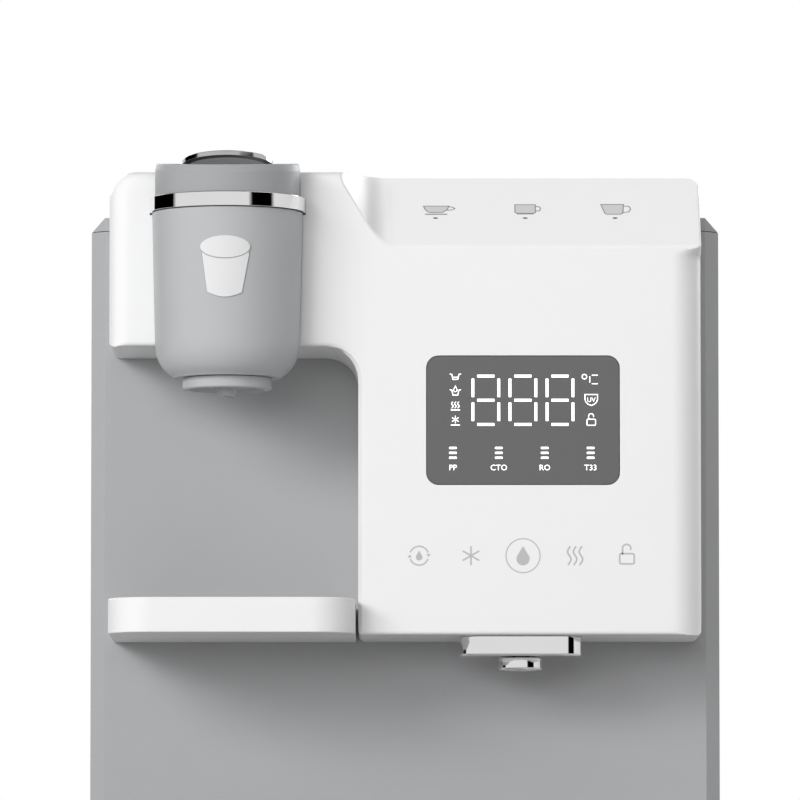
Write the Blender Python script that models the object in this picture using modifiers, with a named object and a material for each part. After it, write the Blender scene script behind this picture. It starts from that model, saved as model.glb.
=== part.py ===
"""Countertop water dispenser with a capsule brew head, as an assembly of separate pieces.

Metres, +Z up. The front faces -Y, +X is on the viewer's right, and the origin is the middle
of the footprint, on the surface that the four feet stand on.
"""
import math

import bmesh
import bpy
from mathutils import Matrix, Vector

# Overall size
WIDTH = 0.320
DEPTH = 0.410
HALF_W = WIDTH / 2
FRONT = -DEPTH / 2
REAR = DEPTH / 2
GAP = 0.0003
WALL = 0.0025

# Levels
FOOT_TOP = 0.004
BASE_TOP = 0.030
SEAT_TOP = 0.080
SHELL_TOP = 0.418
BODY_TOP = 0.425
HEAD_TOP = 0.4412

# Grey body
CHAMFER = 0.007
WALL_Y = -0.085
BODY_REAR = 0.1125
PARTITION_REAR = 0.1152
BASE_CORNER = 0.022

# White head
HEAD_Y = -0.160
HEAD_HALF = 0.1484
HEAD_BACK = WALL_Y - GAP
ARM_BOTTOM = 0.353
NICHE_X = -0.02345
NICHE_ROUND = 0.017
PANEL_BOTTOM = 0.2085
TOP_LEFT_ROUND = 0.0135
TOP_RIGHT_ROUND = 0.0065
FOLD_Z = 0.403
SLOPE_DEPTH = 0.035
SLOPE_LEFT = -0.0118
SLOPE_LEAN_Z = -0.611
SLOPE_LEAN_Y = 0.598

# Display and touch row
WINDOW = (0.0108, 0.2837, 0.1071, 0.3481)
WINDOW_ROUND = 0.006
WINDOW_THICK = 0.003

# Brew head
BREW_X = -0.08885
BREW_Y = -0.165
RING_R = 0.039
RING_Z = (0.4195, 0.4265)
HOUSING_R = 0.0377
HOUSING_LOW_R = 0.0362
HOUSING_BOTTOM = 0.3365
LID_R = 0.0363
LID_Z = 0.4268
LID_TOP = 0.4445
LID_BROW_Y = -0.1626
LID_LEAN = math.radians(6.5)
LID_HINGE_Y = -0.125
LID_HINGE_Z = 0.437
HINGE_LUG_R = 0.0034
LEVER_R = 0.0227
LEVER_HINGE_Y = -0.1435
LEVER_HINGE_Z = 0.4407
LEVER_TILT = math.radians(8.3)

# Spout
SPOUT_X = 0.058
SPOUT_Y = -0.130
SPOUT_HALF = 0.0307
SPOUT_Z = (0.1985, PANEL_BOTTOM - GAP)

# Cup shelf
SHELF_X = (-0.148, -0.02475)
SHELF_FRONT = -0.191
SHELF_Z = (0.2083, 0.2258)
SHELF_CORNER = 0.022
PRONG_X = (-0.118, -0.055)

# Drip tray in the foot of the machine
TRAY_HALF = 0.1345
TRAY_BACK = -0.0895

# Filters
FILTER_Y = 0.075
FILTER_R = 0.033
FILTER_PITCH = 0.070
FILTER_NAMES = ("filter_pp", "filter_cto", "filter_ro", "filter_t33")
COVER_HINGE_Y = 0.045
COVER_HINGE_Z = 0.4333
COVER_ROLL = 0.0078
COVER_REAR = 0.1125
LUG_X = 0.100

# Tank
TANK_FRONT = 0.1155
TANK_HALF = 0.1595
VALVE_X = 0.060
VALVE_Y = 0.160

# Fan
FAN_X = (0.118, 0.133)
FAN_Y = -0.022
FAN_Z = 0.280
FAN_R = 0.036

# Colour (RGB), roughness, metallic, transmission
FINISHES = {
    "grey": ((0.42, 0.42, 0.43), 0.42, 0.0, 0.0),
    "white": ((0.86, 0.86, 0.86), 0.30, 0.0, 0.0),
    "chrome": ((0.80, 0.80, 0.81), 0.08, 1.0, 0.0),
    "steel": ((0.62, 0.62, 0.63), 0.32, 1.0, 0.0),
    "smoke": ((0.14, 0.14, 0.15), 0.08, 0.0, 0.0),
    "clear": ((0.60, 0.68, 0.72), 0.08, 0.0, 0.85),
    "rubber": ((0.03, 0.03, 0.03), 0.75, 0.0, 0.0),
    "board": ((0.02, 0.16, 0.07), 0.55, 0.0, 0.0),
    "black": ((0.03, 0.03, 0.035), 0.45, 0.0, 0.0),
    "foam": ((0.72, 0.73, 0.74), 0.85, 0.0, 0.0),
}


def clear_scene():
    for obj in list(bpy.data.objects):
        bpy.data.objects.remove(obj, do_unlink=True)


def new_collection(name):
    collection = bpy.data.collections.new(name)
    bpy.context.scene.collection.children.link(collection)
    return collection


def finish(obj, kind):
    """Give a piece its own Principled material."""
    colour, roughness, metallic, transmission = FINISHES[kind]
    material = bpy.data.materials.new(obj.name)
    material.use_nodes = True
    shader = material.node_tree.nodes["Principled BSDF"]
    shader.inputs["Base Color"].default_value = (*colour, 1.0)
    shader.inputs["Roughness"].default_value = roughness
    shader.inputs["Metallic"].default_value = metallic
    shader.inputs["Transmission Weight"].default_value = transmission
    obj.data.materials.clear()
    obj.data.materials.append(material)
    return obj


def place(obj, as_cutter):
    (CUTTERS if as_cutter else PARTS).objects.link(obj)
    if as_cutter:
        obj.hide_render = True
        obj.display_type = "WIRE"
    return obj


def from_bmesh(name, bm, as_cutter):
    mesh = bpy.data.meshes.new(name)
    bmesh.ops.recalc_face_normals(bm, faces=bm.faces)
    bm.to_mesh(mesh)
    bm.free()
    return place(bpy.data.objects.new(name, mesh), as_cutter)


def boxes(name, spans, as_cutter=False):
    """Separate boxes in one mesh, each given by its lowest and highest corner."""
    bm = bmesh.new()
    for low, high in spans:
        low, high = Vector(low), Vector(high)
        size = Matrix.Diagonal((*(high - low), 1.0))
        bmesh.ops.create_cube(bm, size=1.0, matrix=Matrix.Translation((low + high) / 2) @ size)
    return from_bmesh(name, bm, as_cutter)


def box(name, low, high, as_cutter=False):
    return boxes(name, [(low, high)], as_cutter)


AXES = {
    "X": Matrix.Rotation(math.radians(90), 4, "Y"),
    "Y": Matrix.Rotation(math.radians(-90), 4, "X"),
    "Z": Matrix.Identity(4),
}


def rods(name, centres, radius, length, axis="Z", steps=32, as_cutter=False):
    """Separate cylinders in one mesh, each given by its middle."""
    bm = bmesh.new()
    for centre in centres:
        bmesh.ops.create_cone(
            bm, cap_ends=True, segments=steps, radius1=radius, radius2=radius, depth=length,
            matrix=Matrix.Translation(centre) @ AXES[axis])
    return from_bmesh(name, bm, as_cutter)


def rod(name, centre, radius, length, axis="Z", steps=32, as_cutter=False):
    return rods(name, [centre], radius, length, axis, steps, as_cutter)


def turned(name, profile, at, axis="Z", ring=False, steps=40, as_cutter=False):
    """A turned piece: (radius, height) points that run down the outer side, then back inside."""
    mesh = bpy.data.meshes.new(name)
    count = len(profile)
    edges = [(i, i + 1) for i in range(count - 1)]
    if ring:
        edges.append((count - 1, 0))
    mesh.from_pydata([(radius, 0.0, height) for radius, height in profile], edges, [])
    obj = place(bpy.data.objects.new(name, mesh), as_cutter)
    obj.matrix_world = Matrix.Translation(at) @ AXES[axis]
    screw = obj.modifiers.new("Turn", "SCREW")
    screw.steps = screw.render_steps = steps
    screw.use_merge_vertices = True
    screw.merge_threshold = 1e-5
    screw.use_smooth_shade = True
    return obj


def rounded(corners, steps=5):
    """An outline from (x, y, radius) corners, with an arc at every corner that has a radius."""
    points = []
    count = len(corners)
    for i, (x, y, radius) in enumerate(corners):
        here = Vector((x, y))
        if radius == 0:
            points.append(here)
            continue
        back = (Vector(corners[i - 1][:2]) - here).normalized()
        ahead = (Vector(corners[(i + 1) % count][:2]) - here).normalized()
        half = math.acos(max(-1.0, min(1.0, back.dot(ahead)))) / 2
        centre = here + (back + ahead).normalized() * (radius / math.sin(half))
        start = here + back * (radius / math.tan(half)) - centre
        end = here + ahead * (radius / math.tan(half)) - centre
        turn = math.atan2(start.x * end.y - start.y * end.x, start.dot(end))
        for k in range(steps + 1):
            angle = turn * k / steps
            spin = Matrix.Rotation(angle, 2)
            points.append(centre + spin @ start)
    return points


PLANES = {
    "XY": Matrix.Identity(4),
    "XZ": Matrix.Rotation(math.radians(90), 4, "X"),
    "YZ": Matrix.Rotation(math.radians(90), 4, "Z") @ Matrix.Rotation(math.radians(90), 4, "X"),
}


def plate(name, points, low, high, plane="XY", as_cutter=False):
    """A flat outline between two levels of the axis that stands across its plane."""
    curve = bpy.data.curves.new(name, "CURVE")
    curve.dimensions = "2D"
    curve.fill_mode = "BOTH"
    curve.extrude = (high - low) / 2
    spline = curve.splines.new("POLY")
    spline.points.add(len(points) - 1)
    for target, point in zip(spline.points, points):
        target.co = (point[0], point[1], 0.0, 1.0)
    spline.use_cyclic_u = True
    middle = (low + high) / 2
    shift = {"XY": (0, 0, middle), "XZ": (0, middle, 0), "YZ": (middle, 0, 0)}[plane]
    return curve_to_mesh(name, curve, Matrix.Translation(shift) @ PLANES[plane], as_cutter)


def tube(name, points, radius, sides=2):
    """A pipe through the given points."""
    curve = bpy.data.curves.new(name, "CURVE")
    curve.dimensions = "3D"
    curve.bevel_depth = radius
    curve.bevel_resolution = sides
    curve.use_fill_caps = True
    spline = curve.splines.new("POLY")
    spline.points.add(len(points) - 1)
    for target, point in zip(spline.points, points):
        target.co = (*point, 1.0)
    return curve_to_mesh(name, curve, Matrix.Identity(4), False)


def curve_to_mesh(name, curve, matrix, as_cutter):
    holder = bpy.data.objects.new(name + "_curve", curve)
    bpy.context.scene.collection.objects.link(holder)
    bpy.context.view_layer.update()
    mesh = bpy.data.meshes.new_from_object(holder.evaluated_get(bpy.context.evaluated_depsgraph_get()))
    bpy.data.objects.remove(holder, do_unlink=True)
    bm = bmesh.new()
    bm.from_mesh(mesh)
    bpy.data.meshes.remove(mesh)
    bmesh.ops.remove_doubles(bm, verts=bm.verts, dist=1e-6)
    bmesh.ops.dissolve_limit(bm, angle_limit=0.001, verts=bm.verts, edges=bm.edges)
    bm.transform(matrix)
    return from_bmesh(name, bm, as_cutter)


def round_edges(obj, radius, segments, pick):
    """Bevel the edges whose middle and direction satisfy the test."""
    bm = bmesh.new()
    bm.from_mesh(obj.data)
    edges = []
    for edge in bm.edges:
        first, second = edge.verts
        if pick((first.co + second.co) / 2, (second.co - first.co).normalized()):
            edges.append(edge)
    bmesh.ops.bevel(bm, geom=edges, offset=radius, segments=segments, profile=0.5,
                    affect="EDGES", clamp_overlap=True)
    bm.to_mesh(obj.data)
    bm.free()
    return obj


def combine(obj, other, operation):
    modifier = obj.modifiers.new(operation.title(), "BOOLEAN")
    modifier.operation = operation
    modifier.solver = "EXACT"
    modifier.object = other
    return obj


def cut(obj, *cutters):
    for cutter in cutters:
        combine(obj, cutter, "DIFFERENCE")
    return obj


def add(obj, *others):
    for other in others:
        combine(obj, other, "UNION")
    return obj


def near(value, target, slack=0.0005):
    return abs(value - target) < slack


# ---------------------------------------------------------------- foot and body
def make_base():
    outline = rounded([
        (-HALF_W, FRONT, BASE_CORNER), (HALF_W, FRONT, BASE_CORNER),
        (HALF_W, REAR, 0.006), (-HALF_W, REAR, 0.006)], 6)
    base = plate("base_pan", outline, FOOT_TOP, BASE_TOP)
    cut(base,
        box("pan_hollow", (-0.1565, -0.081, 0.0075), (0.1565, 0.2015, 0.040), True),
        box("tray_bay", (-TRAY_HALF - 0.0006, FRONT - 0.01, 0.008),
            (TRAY_HALF + 0.0006, TRAY_BACK + 0.0006, 0.040), True))
    finish(base, "grey")
    foot_profile = [(0, FOOT_TOP - GAP), (0.0115, FOOT_TOP - GAP), (0.011, 0.0006), (0.0104, 0), (0, 0)]
    for end, y in (("front", -0.172), ("rear", 0.178)):
        for side, x in (("left", -0.130), ("right", 0.130)):
            finish(turned(f"foot_{end}_{side}", foot_profile, (x, y, 0), steps=24), "rubber")


def make_body():
    inner = HALF_W - WALL
    slip = WALL * math.tan(math.radians(22.5))
    half = [(HALF_W, BODY_REAR - GAP), (HALF_W, WALL_Y + CHAMFER), (HALF_W - CHAMFER, WALL_Y)]
    half_in = [(HALF_W - CHAMFER - slip, WALL_Y + WALL), (inner, WALL_Y + CHAMFER + slip),
               (inner, BODY_REAR - GAP)]
    right = half + [(-x, y) for x, y in reversed(half)]
    wrap = right + [(-x, y) for x, y in reversed(half_in)] + half_in
    shell = plate("body_shell", wrap, BASE_TOP + GAP, SHELL_TOP)
    vents = [((FAN_X[1], FAN_Y - 0.028, FAN_Z + z), (HALF_W + 0.01, FAN_Y + 0.028, FAN_Z + z + 0.0035))
             for z in [0.0085 * k - 0.0275 for k in range(7)]]
    prongs = [((x - 0.0062, WALL_Y - 0.01, 0.2125), (x + 0.0062, WALL_Y + 0.01, 0.2195))
              for x in PRONG_X]
    cut(shell,
        boxes("side_vents", vents, True),
        boxes("prong_slots", prongs, True),
        box("brew_pipe_port", (-0.112, WALL_Y - 0.01, 0.380), (-0.068, WALL_Y + 0.01, 0.410), True),
        box("spout_pipe_port", (0.020, WALL_Y - 0.01, 0.235), (0.100, WALL_Y + 0.01, 0.330), True))
    finish(shell, "grey")

    partition = box("rear_panel", (-HALF_W, BODY_REAR, BASE_TOP + GAP), (HALF_W, PARTITION_REAR, SHELL_TOP))
    finish(partition, "grey")

    frame = box("top_frame", (-HALF_W, WALL_Y, BODY_TOP - 0.020), (HALF_W, PARTITION_REAR, BODY_TOP))
    round_edges(frame, CHAMFER, 1, lambda mid, along: (
        near(mid.z, BODY_TOP) and abs(along.y) > 0.9) or (
        near(mid.y, WALL_Y) and abs(along.z) > 0.9))
    lugs = []
    for x in (-LUG_X, LUG_X):
        lugs.append(((x - 0.0065, COVER_HINGE_Y - 0.004, BODY_TOP - 0.004),
                     (x + 0.0065, COVER_HINGE_Y + 0.004, COVER_HINGE_Z + 0.0038)))
    below = box("frame_underside", (-0.2, -0.2, BODY_TOP - 0.05), (0.2, 0.2, SHELL_TOP + GAP), True)
    holes = boxes("frame_openings", [
        ((-0.143, 0.0500, 0.41), (0.143, 0.1095, 0.43)),
        ((-0.143, -0.0720, 0.41), (0.143, 0.0300, 0.43))], True)
    cut(frame, below, holes)
    add(frame, boxes("cover_lugs", lugs, True))
    cut(frame, rods("lug_bores", [(x, COVER_HINGE_Y, COVER_HINGE_Z) for x in (-LUG_X, LUG_X)],
                    0.0018, 0.020, "X", 16, True))
    finish(frame, "grey")


def make_tank_seat():
    seat = box("tank_seat", (-HALF_W, PARTITION_REAR + GAP, BASE_TOP + GAP), (HALF_W, REAR, SEAT_TOP))
    round_edges(seat, 0.006, 4, lambda mid, along: near(mid.y, REAR) and abs(along.z) > 0.9)
    cut(seat,
        box("seat_hollow", (-HALF_W + WALL, PARTITION_REAR + 0.003, 0.020),
            (HALF_W - WALL, REAR - WALL, SEAT_TOP - WALL), True),
        rod("seat_valve_hole", (VALVE_X, VALVE_Y, SEAT_TOP), 0.0135, 0.02, "Z", 24, True),
        box("inlet_hole", (-0.1044, REAR - 0.01, 0.0446), (-0.0756, REAR + 0.01, 0.0654), True),
        box("switch_hole", (-0.0613, REAR - 0.01, 0.0463), (-0.0397, REAR + 0.01, 0.0637), True),
        rod("drain_hole", (0.100, REAR, 0.055), 0.0112, 0.02, "Y", 24, True))
    finish(seat, "grey")

    socket = turned("valve_socket", [
        (0.018, SEAT_TOP - WALL - GAP), (0.018, 0.060), (0.006, 0.052), (0.004, 0.052),
        (0.004, 0.058), (0.0128, 0.063), (0.0128, SEAT_TOP - WALL - GAP)],
        (VALVE_X, VALVE_Y, 0), ring=True, steps=20)
    finish(socket, "white")

    inlet = box("power_inlet", (-0.1040, REAR - 0.022, 0.045), (-0.0760, REAR - 0.0008, 0.065))
    cut(inlet, box("inlet_well", (-0.1015, REAR - 0.016, 0.0475), (-0.0785, REAR + 0.01, 0.0625), True))
    pins = [((x - 0.001, REAR - 0.017, 0.053), (x + 0.001, REAR - 0.006, 0.057))
            for x in (-0.097, -0.090, -0.083)]
    add(inlet, boxes("inlet_pins", pins, True))
    finish(inlet, "black")

    rocker = plate("power_switch", rounded([
        (REAR - 0.012, 0.0477, 0), (REAR - 0.0025, 0.0477, 0), (REAR - 0.0004, 0.055, 0.010),
        (REAR - 0.0025, 0.0623, 0), (REAR - 0.012, 0.0623, 0)], 3), -0.0605, -0.0405, "YZ")
    finish(rocker, "black")

    cap = turned("drain_cap", [
        (0, 0), (0.0100, 0), (0.0108, -0.0008), (0.0108, -0.0035), (0.0058, -0.0035),
        (0.0058, -0.014), (0, -0.014)], (0.100, REAR - 0.0002, 0.055), "Y", steps=24)
    finish(cap, "black")


# ---------------------------------------------------------------- white head
def head_outline(inset):
    """The L-shaped front of the head, pulled in by a wall thickness."""
    low, high = -HEAD_HALF + inset, HEAD_HALF - inset
    return rounded([
        (low, ARM_BOTTOM + inset, max(0.003 - inset, 0.0008)),
        (NICHE_X + inset, ARM_BOTTOM + inset, NICHE_ROUND + inset),
        (NICHE_X + inset, PANEL_BOTTOM + inset, max(0.003 - inset, 0.0008)),
        (high, PANEL_BOTTOM + inset, max(0.003 - inset, 0.0008)),
        (high, HEAD_TOP - inset, max(TOP_RIGHT_ROUND - inset, 0.001)),
        (low, HEAD_TOP - inset, max(TOP_LEFT_ROUND - inset, 0.001))], 5)


def slope_cutter(name, inset):
    """The wedge above the sloping panel at the head's top right, grown by a wall thickness."""
    run = SLOPE_DEPTH
    rise = HEAD_TOP - FOLD_Z
    lower = inset * math.hypot(run, rise) / run
    front, top = HEAD_Y - 0.008, HEAD_TOP + 0.010

    def slope_z(y):
        return FOLD_Z - lower + (y - HEAD_Y) * rise / run

    def slope_y(z):
        return HEAD_Y + (z - FOLD_Z + lower) * run / rise

    def left(y, z):
        return SLOPE_LEFT - 1.2 * inset + SLOPE_LEAN_Y * (y - HEAD_Y) + SLOPE_LEAN_Z * (z - FOLD_Z)

    low, back = slope_z(front), slope_y(top)
    bm = bmesh.new()
    for y, z in ((front, low), (back, top), (front, top)):
        bm.verts.new((left(y, z), y, z))
        bm.verts.new((HALF_W, y, z))
    bmesh.ops.convex_hull(bm, input=bm.verts)
    return from_bmesh(name, bm, True)


def make_head():
    head = plate("head_shell", head_outline(0.0), HEAD_Y, HEAD_BACK, "XZ")
    round_edges(head, 0.003, 3, lambda mid, along: near(mid.y, HEAD_Y) and abs(along.y) < 0.1)
    hollow = plate("head_hollow", head_outline(WALL), HEAD_Y + WALL, HEAD_BACK + 0.01, "XZ", True)
    cut(hollow, slope_cutter("hollow_slope", WALL))
    low_x, low_z, high_x, high_z = WINDOW
    ease = GAP
    window_hole = plate("window_hole", rounded([
        (low_x - ease, low_z - ease, WINDOW_ROUND), (high_x + ease, low_z - ease, WINDOW_ROUND),
        (high_x + ease, high_z + ease, WINDOW_ROUND), (low_x - ease, high_z + ease, WINDOW_ROUND)], 4),
        HEAD_Y - 0.01, HEAD_Y + 0.01, "XZ", True)
    brew_well = rod("brew_well", (BREW_X, BREW_Y, 0.4), RING_R + 0.0004, 0.2, "Z", 64, True)
    hinge_slot = box("hinge_slot", (BREW_X - 0.0126, BREW_Y + 0.02, HEAD_TOP - 0.006),
                     (BREW_X + 0.0126, -0.1185, HEAD_TOP + 0.01), True)
    spout_port = rod("spout_port", (SPOUT_X, SPOUT_Y, PANEL_BOTTOM), 0.0065, 0.02, "Z", 24, True)
    cut(head, slope_cutter("outer_slope", 0.0), hollow, window_hole, brew_well, hinge_slot, spout_port)
    finish(head, "white")

    window = plate("display_window", rounded([
        (low_x, low_z, WINDOW_ROUND), (high_x, low_z, WINDOW_ROUND),
        (high_x, high_z, WINDOW_ROUND), (low_x, high_z, WINDOW_ROUND)], 4),
        HEAD_Y, HEAD_Y + WINDOW_THICK, "XZ")
    finish(window, "smoke")
    finish(box("display_board", (low_x + 0.003, HEAD_Y + 0.0048, low_z + 0.002),
               (high_x - 0.003, HEAD_Y + 0.0064, high_z - 0.002)), "board")
    finish(box("touch_board", (-0.006, HEAD_Y + WALL + GAP, 0.234),
               (0.124, HEAD_Y + 0.0045, 0.262)), "board")


def cover_profile(name):
    """The arm's rounded cross-section, run through all the white top covers."""
    low, high = -HEAD_HALF, HEAD_HALF
    return plate(name, rounded([
        (low, BODY_TOP, 0), (high, BODY_TOP, 0), (high, HEAD_TOP, TOP_RIGHT_ROUND),
        (low, HEAD_TOP, TOP_LEFT_ROUND)], 5), -0.3, 0.3, "XZ", True)


def make_covers():
    bottom = BODY_TOP + GAP
    cover = box("top_cover", (-0.2, WALL_Y + GAP, bottom),
                (0.2, COVER_HINGE_Y - COVER_ROLL - 0.0006, HEAD_TOP))
    combine(cover, cover_profile("top_cover_profile"), "INTERSECT")
    cut(cover, box("top_cover_hollow", (-HEAD_HALF + WALL, WALL_Y + 0.003, 0.40),
                   (HEAD_HALF - WALL, COVER_HINGE_Y - COVER_ROLL - 0.003, HEAD_TOP - WALL - 0.002), True))
    finish(cover, "white")

    roll = COVER_ROLL
    side = [Vector((COVER_HINGE_Y + roll * math.cos(a), COVER_HINGE_Z + roll * math.sin(a)))
            for a in [math.radians(90 + 15 * k) for k in range(13)]]
    side += [Vector((COVER_REAR, COVER_HINGE_Z - roll)), Vector((COVER_REAR, COVER_HINGE_Z + roll))]
    flap = plate("filter_cover", side, -0.2, 0.2, "YZ")
    combine(flap, cover_profile("flap_profile"), "INTERSECT")
    notches, pin_sections = [], []
    for x in (-LUG_X, LUG_X):
        notches.append(((x - 0.007, COVER_HINGE_Y - 0.02, BODY_TOP - 0.01),
                        (x + 0.007, COVER_HINGE_Y + 0.0043, COVER_HINGE_Z + 0.0044)))
        pin_sections.append((x, COVER_HINGE_Y, COVER_HINGE_Z))
    cut(flap,
        box("flap_hollow", (-HEAD_HALF + WALL, 0.0535, 0.41),
            (HEAD_HALF - WALL, COVER_REAR - WALL, HEAD_TOP - 0.0028), True),
        boxes("lug_notches", notches, True),
        rods("lug_sweeps", pin_sections, 0.0060, 0.014, "X", 24, True),
        rod("flap_bore", (0, COVER_HINGE_Y, COVER_HINGE_Z), 0.0018, 0.242, "X", 16, True))
    finish(flap, "white")
    finish(rod("filter_cover_pin", (0, COVER_HINGE_Y, COVER_HINGE_Z), 0.0015, 0.240, "X", 16), "steel")


# ---------------------------------------------------------------- brew head
def make_brew():
    centre = (BREW_X, BREW_Y, 0)
    housing = turned("brew_housing", [
        (HOUSING_R, RING_Z[0] - GAP), (HOUSING_LOW_R, 0.353), (0.0354, 0.3462), (0.0329, 0.3402),
        (0.0298, 0.3375), (0.027, HOUSING_BOTTOM), (0.006, HOUSING_BOTTOM), (0.006, 0.3400),
        (0.029, 0.3418), (0.0332, 0.350), (0.0345, RING_Z[0] - GAP)], centre, ring=True, steps=40)
    cut(housing, rod("brew_pipe_hole", (BREW_X, BREW_Y + 0.036, 0.400), 0.0045, 0.02, "Y", 16, True))
    finish(housing, "grey")
    finish(turned("brew_ring", [
        (RING_R - 0.0006, RING_Z[1]), (RING_R, RING_Z[1] - 0.0006), (RING_R, RING_Z[0] + 0.0006),
        (RING_R - 0.0006, RING_Z[0]), (0.0345, RING_Z[0]), (0.0345, RING_Z[1])],
        centre, ring=True, steps=40), "chrome")
    finish(turned("brew_nozzle", [
        (0.0223, HOUSING_BOTTOM - GAP), (0.0223, 0.3320), (0.0215, 0.3305), (0.0190, 0.3305),
        (0.0180, 0.3325), (0.0055, 0.3325), (0.0042, 0.3275), (0.0026, 0.3275),
        (0.0035, HOUSING_BOTTOM - GAP)],
        centre, ring=True, steps=28), "grey")
    finish(turned("capsule_holder", [
        (0.0325, 0.4185), (0.0325, 0.4165), (0.0265, 0.4160), (0.0240, 0.3560), (0.0050, 0.3520),
        (0.0030, 0.3450), (0.0015, 0.3450), (0.0015, 0.3555), (0.0225, 0.3585), (0.0250, 0.4175),
        (0.0262, 0.4185)], centre, ring=True, steps=24), "black")

    lid = turned("brew_lid", [
        (0, 0.4368), (0.0242, 0.4368), (0.0242, LID_TOP), (0.0347, LID_TOP), (0.0355, 0.4440),
        (LID_R, 0.4414), (LID_R, LID_Z), (0.0335, LID_Z), (0.0335, 0.4336), (0, 0.4343)],
        centre, steps=40)
    slant = box("lid_slant", (-0.06, -0.06, 0), (0.06, 0, 0.02), True)
    slant.matrix_world = (Matrix.Translation((BREW_X, LID_BROW_Y, LID_TOP))
                          @ Matrix.Rotation(LID_LEAN, 4, "X"))
    ear = box("lid_ear", (BREW_X - 0.008, BREW_Y + 0.0325, 0.432), (BREW_X + 0.008, -0.1215, 0.4413), True)
    bore = rod("lid_bore", (BREW_X, LID_HINGE_Y, LID_HINGE_Z), 0.0018, 0.03, "X", 16, True)
    cut(add(lid, ear), slant, bore)
    finish(lid, "grey")

    block = box("lid_hinge_block", (BREW_X - 0.0122, LID_HINGE_Y - HINGE_LUG_R, 0.4268),
                (BREW_X + 0.0122, -0.1200, LID_HINGE_Z))
    add(block, rod("hinge_lug", (BREW_X, LID_HINGE_Y, LID_HINGE_Z), HINGE_LUG_R, 0.0244, "X", 32, True))
    cut(block,
        box("hinge_gap", (BREW_X - 0.0084, -0.14, 0.4293), (BREW_X + 0.0084, -0.11, 0.45), True),
        rod("hinge_bores", (BREW_X, LID_HINGE_Y, LID_HINGE_Z), 0.0018, 0.03, "X", 16, True))
    finish(block, "grey")
    finish(rod("lid_hinge_pin", (BREW_X, LID_HINGE_Y, LID_HINGE_Z), 0.0015, 0.0242, "X", 16), "steel")

    finish(turned("pierce_plate", [
        (0.0290, 0.4328), (0.0290, 0.4290), (0.0270, 0.4275), (0.0040, 0.4275), (0.0012, 0.4200),
        (0.0006, 0.4195), (0.0006, 0.4328)], centre, ring=True, steps=20), "black")

    hinge = bpy.data.objects.new("lever_axis", None)
    hinge.location = (BREW_X, LEVER_HINGE_Y, LEVER_HINGE_Z)
    hinge.rotation_euler.x = -LEVER_TILT
    PARTS.objects.link(hinge)
    level = LEVER_HINGE_Z
    lens = turned("lid_lever", [
        (0, level + 0.0016), (0.0185, level + 0.0016), (0.0195, level + 0.0012),
        (0.0195, level - 0.0014), (0, level - 0.0014)],
        centre, steps=32)
    rim = turned("lever_rim", [
        (0.0222, level + 0.0018), (LEVER_R, level + 0.0013), (LEVER_R, level - 0.0013),
        (0.0222, level - 0.0018), (0.0198, level - 0.0018), (0.0198, level + 0.0018)],
        centre, ring=True, steps=32)
    for piece in (lens, rim):
        piece.parent = hinge
        piece.location = (0, BREW_Y - LEVER_HINGE_Y, -level)
    finish(lens, "smoke")
    finish(rim, "chrome")


# ---------------------------------------------------------------- spout and cup shelf
def make_spout():
    low, high = SPOUT_X - SPOUT_HALF, SPOUT_X + SPOUT_HALF
    block = plate("spout_block", rounded([
        (low, -0.151, 0.010), (high, -0.151, 0.010), (high, -0.109, 0.010), (low, -0.109, 0.010)], 6),
        SPOUT_Z[0], SPOUT_Z[1])
    round_edges(block, 0.001, 2, lambda mid, along: near(mid.z, SPOUT_Z[0]) and abs(along.z) < 0.1)
    cut(block, rod("spout_bore", (SPOUT_X, SPOUT_Y, 0.2), 0.0048, 0.03, "Z", 24, True))
    finish(block, "chrome")
    centre = (SPOUT_X, SPOUT_Y, 0)
    finish(turned("spout_nozzle", [
        (0.0098, SPOUT_Z[0] - GAP), (0.0112, 0.1972), (0.0112, 0.1928), (0.0105, 0.1920),
        (0.0093, 0.1920), (0.0093, 0.1958), (0.0048, 0.1965), (0.0048, SPOUT_Z[0] - GAP)],
        centre, ring=True, steps=28), "chrome")
    finish(turned("nozzle_insert", [
        (0.0088, 0.1954), (0.0088, 0.1928), (0.0030, 0.1928), (0.0030, 0.1954)],
        centre, ring=True, steps=20), "white")


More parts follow.
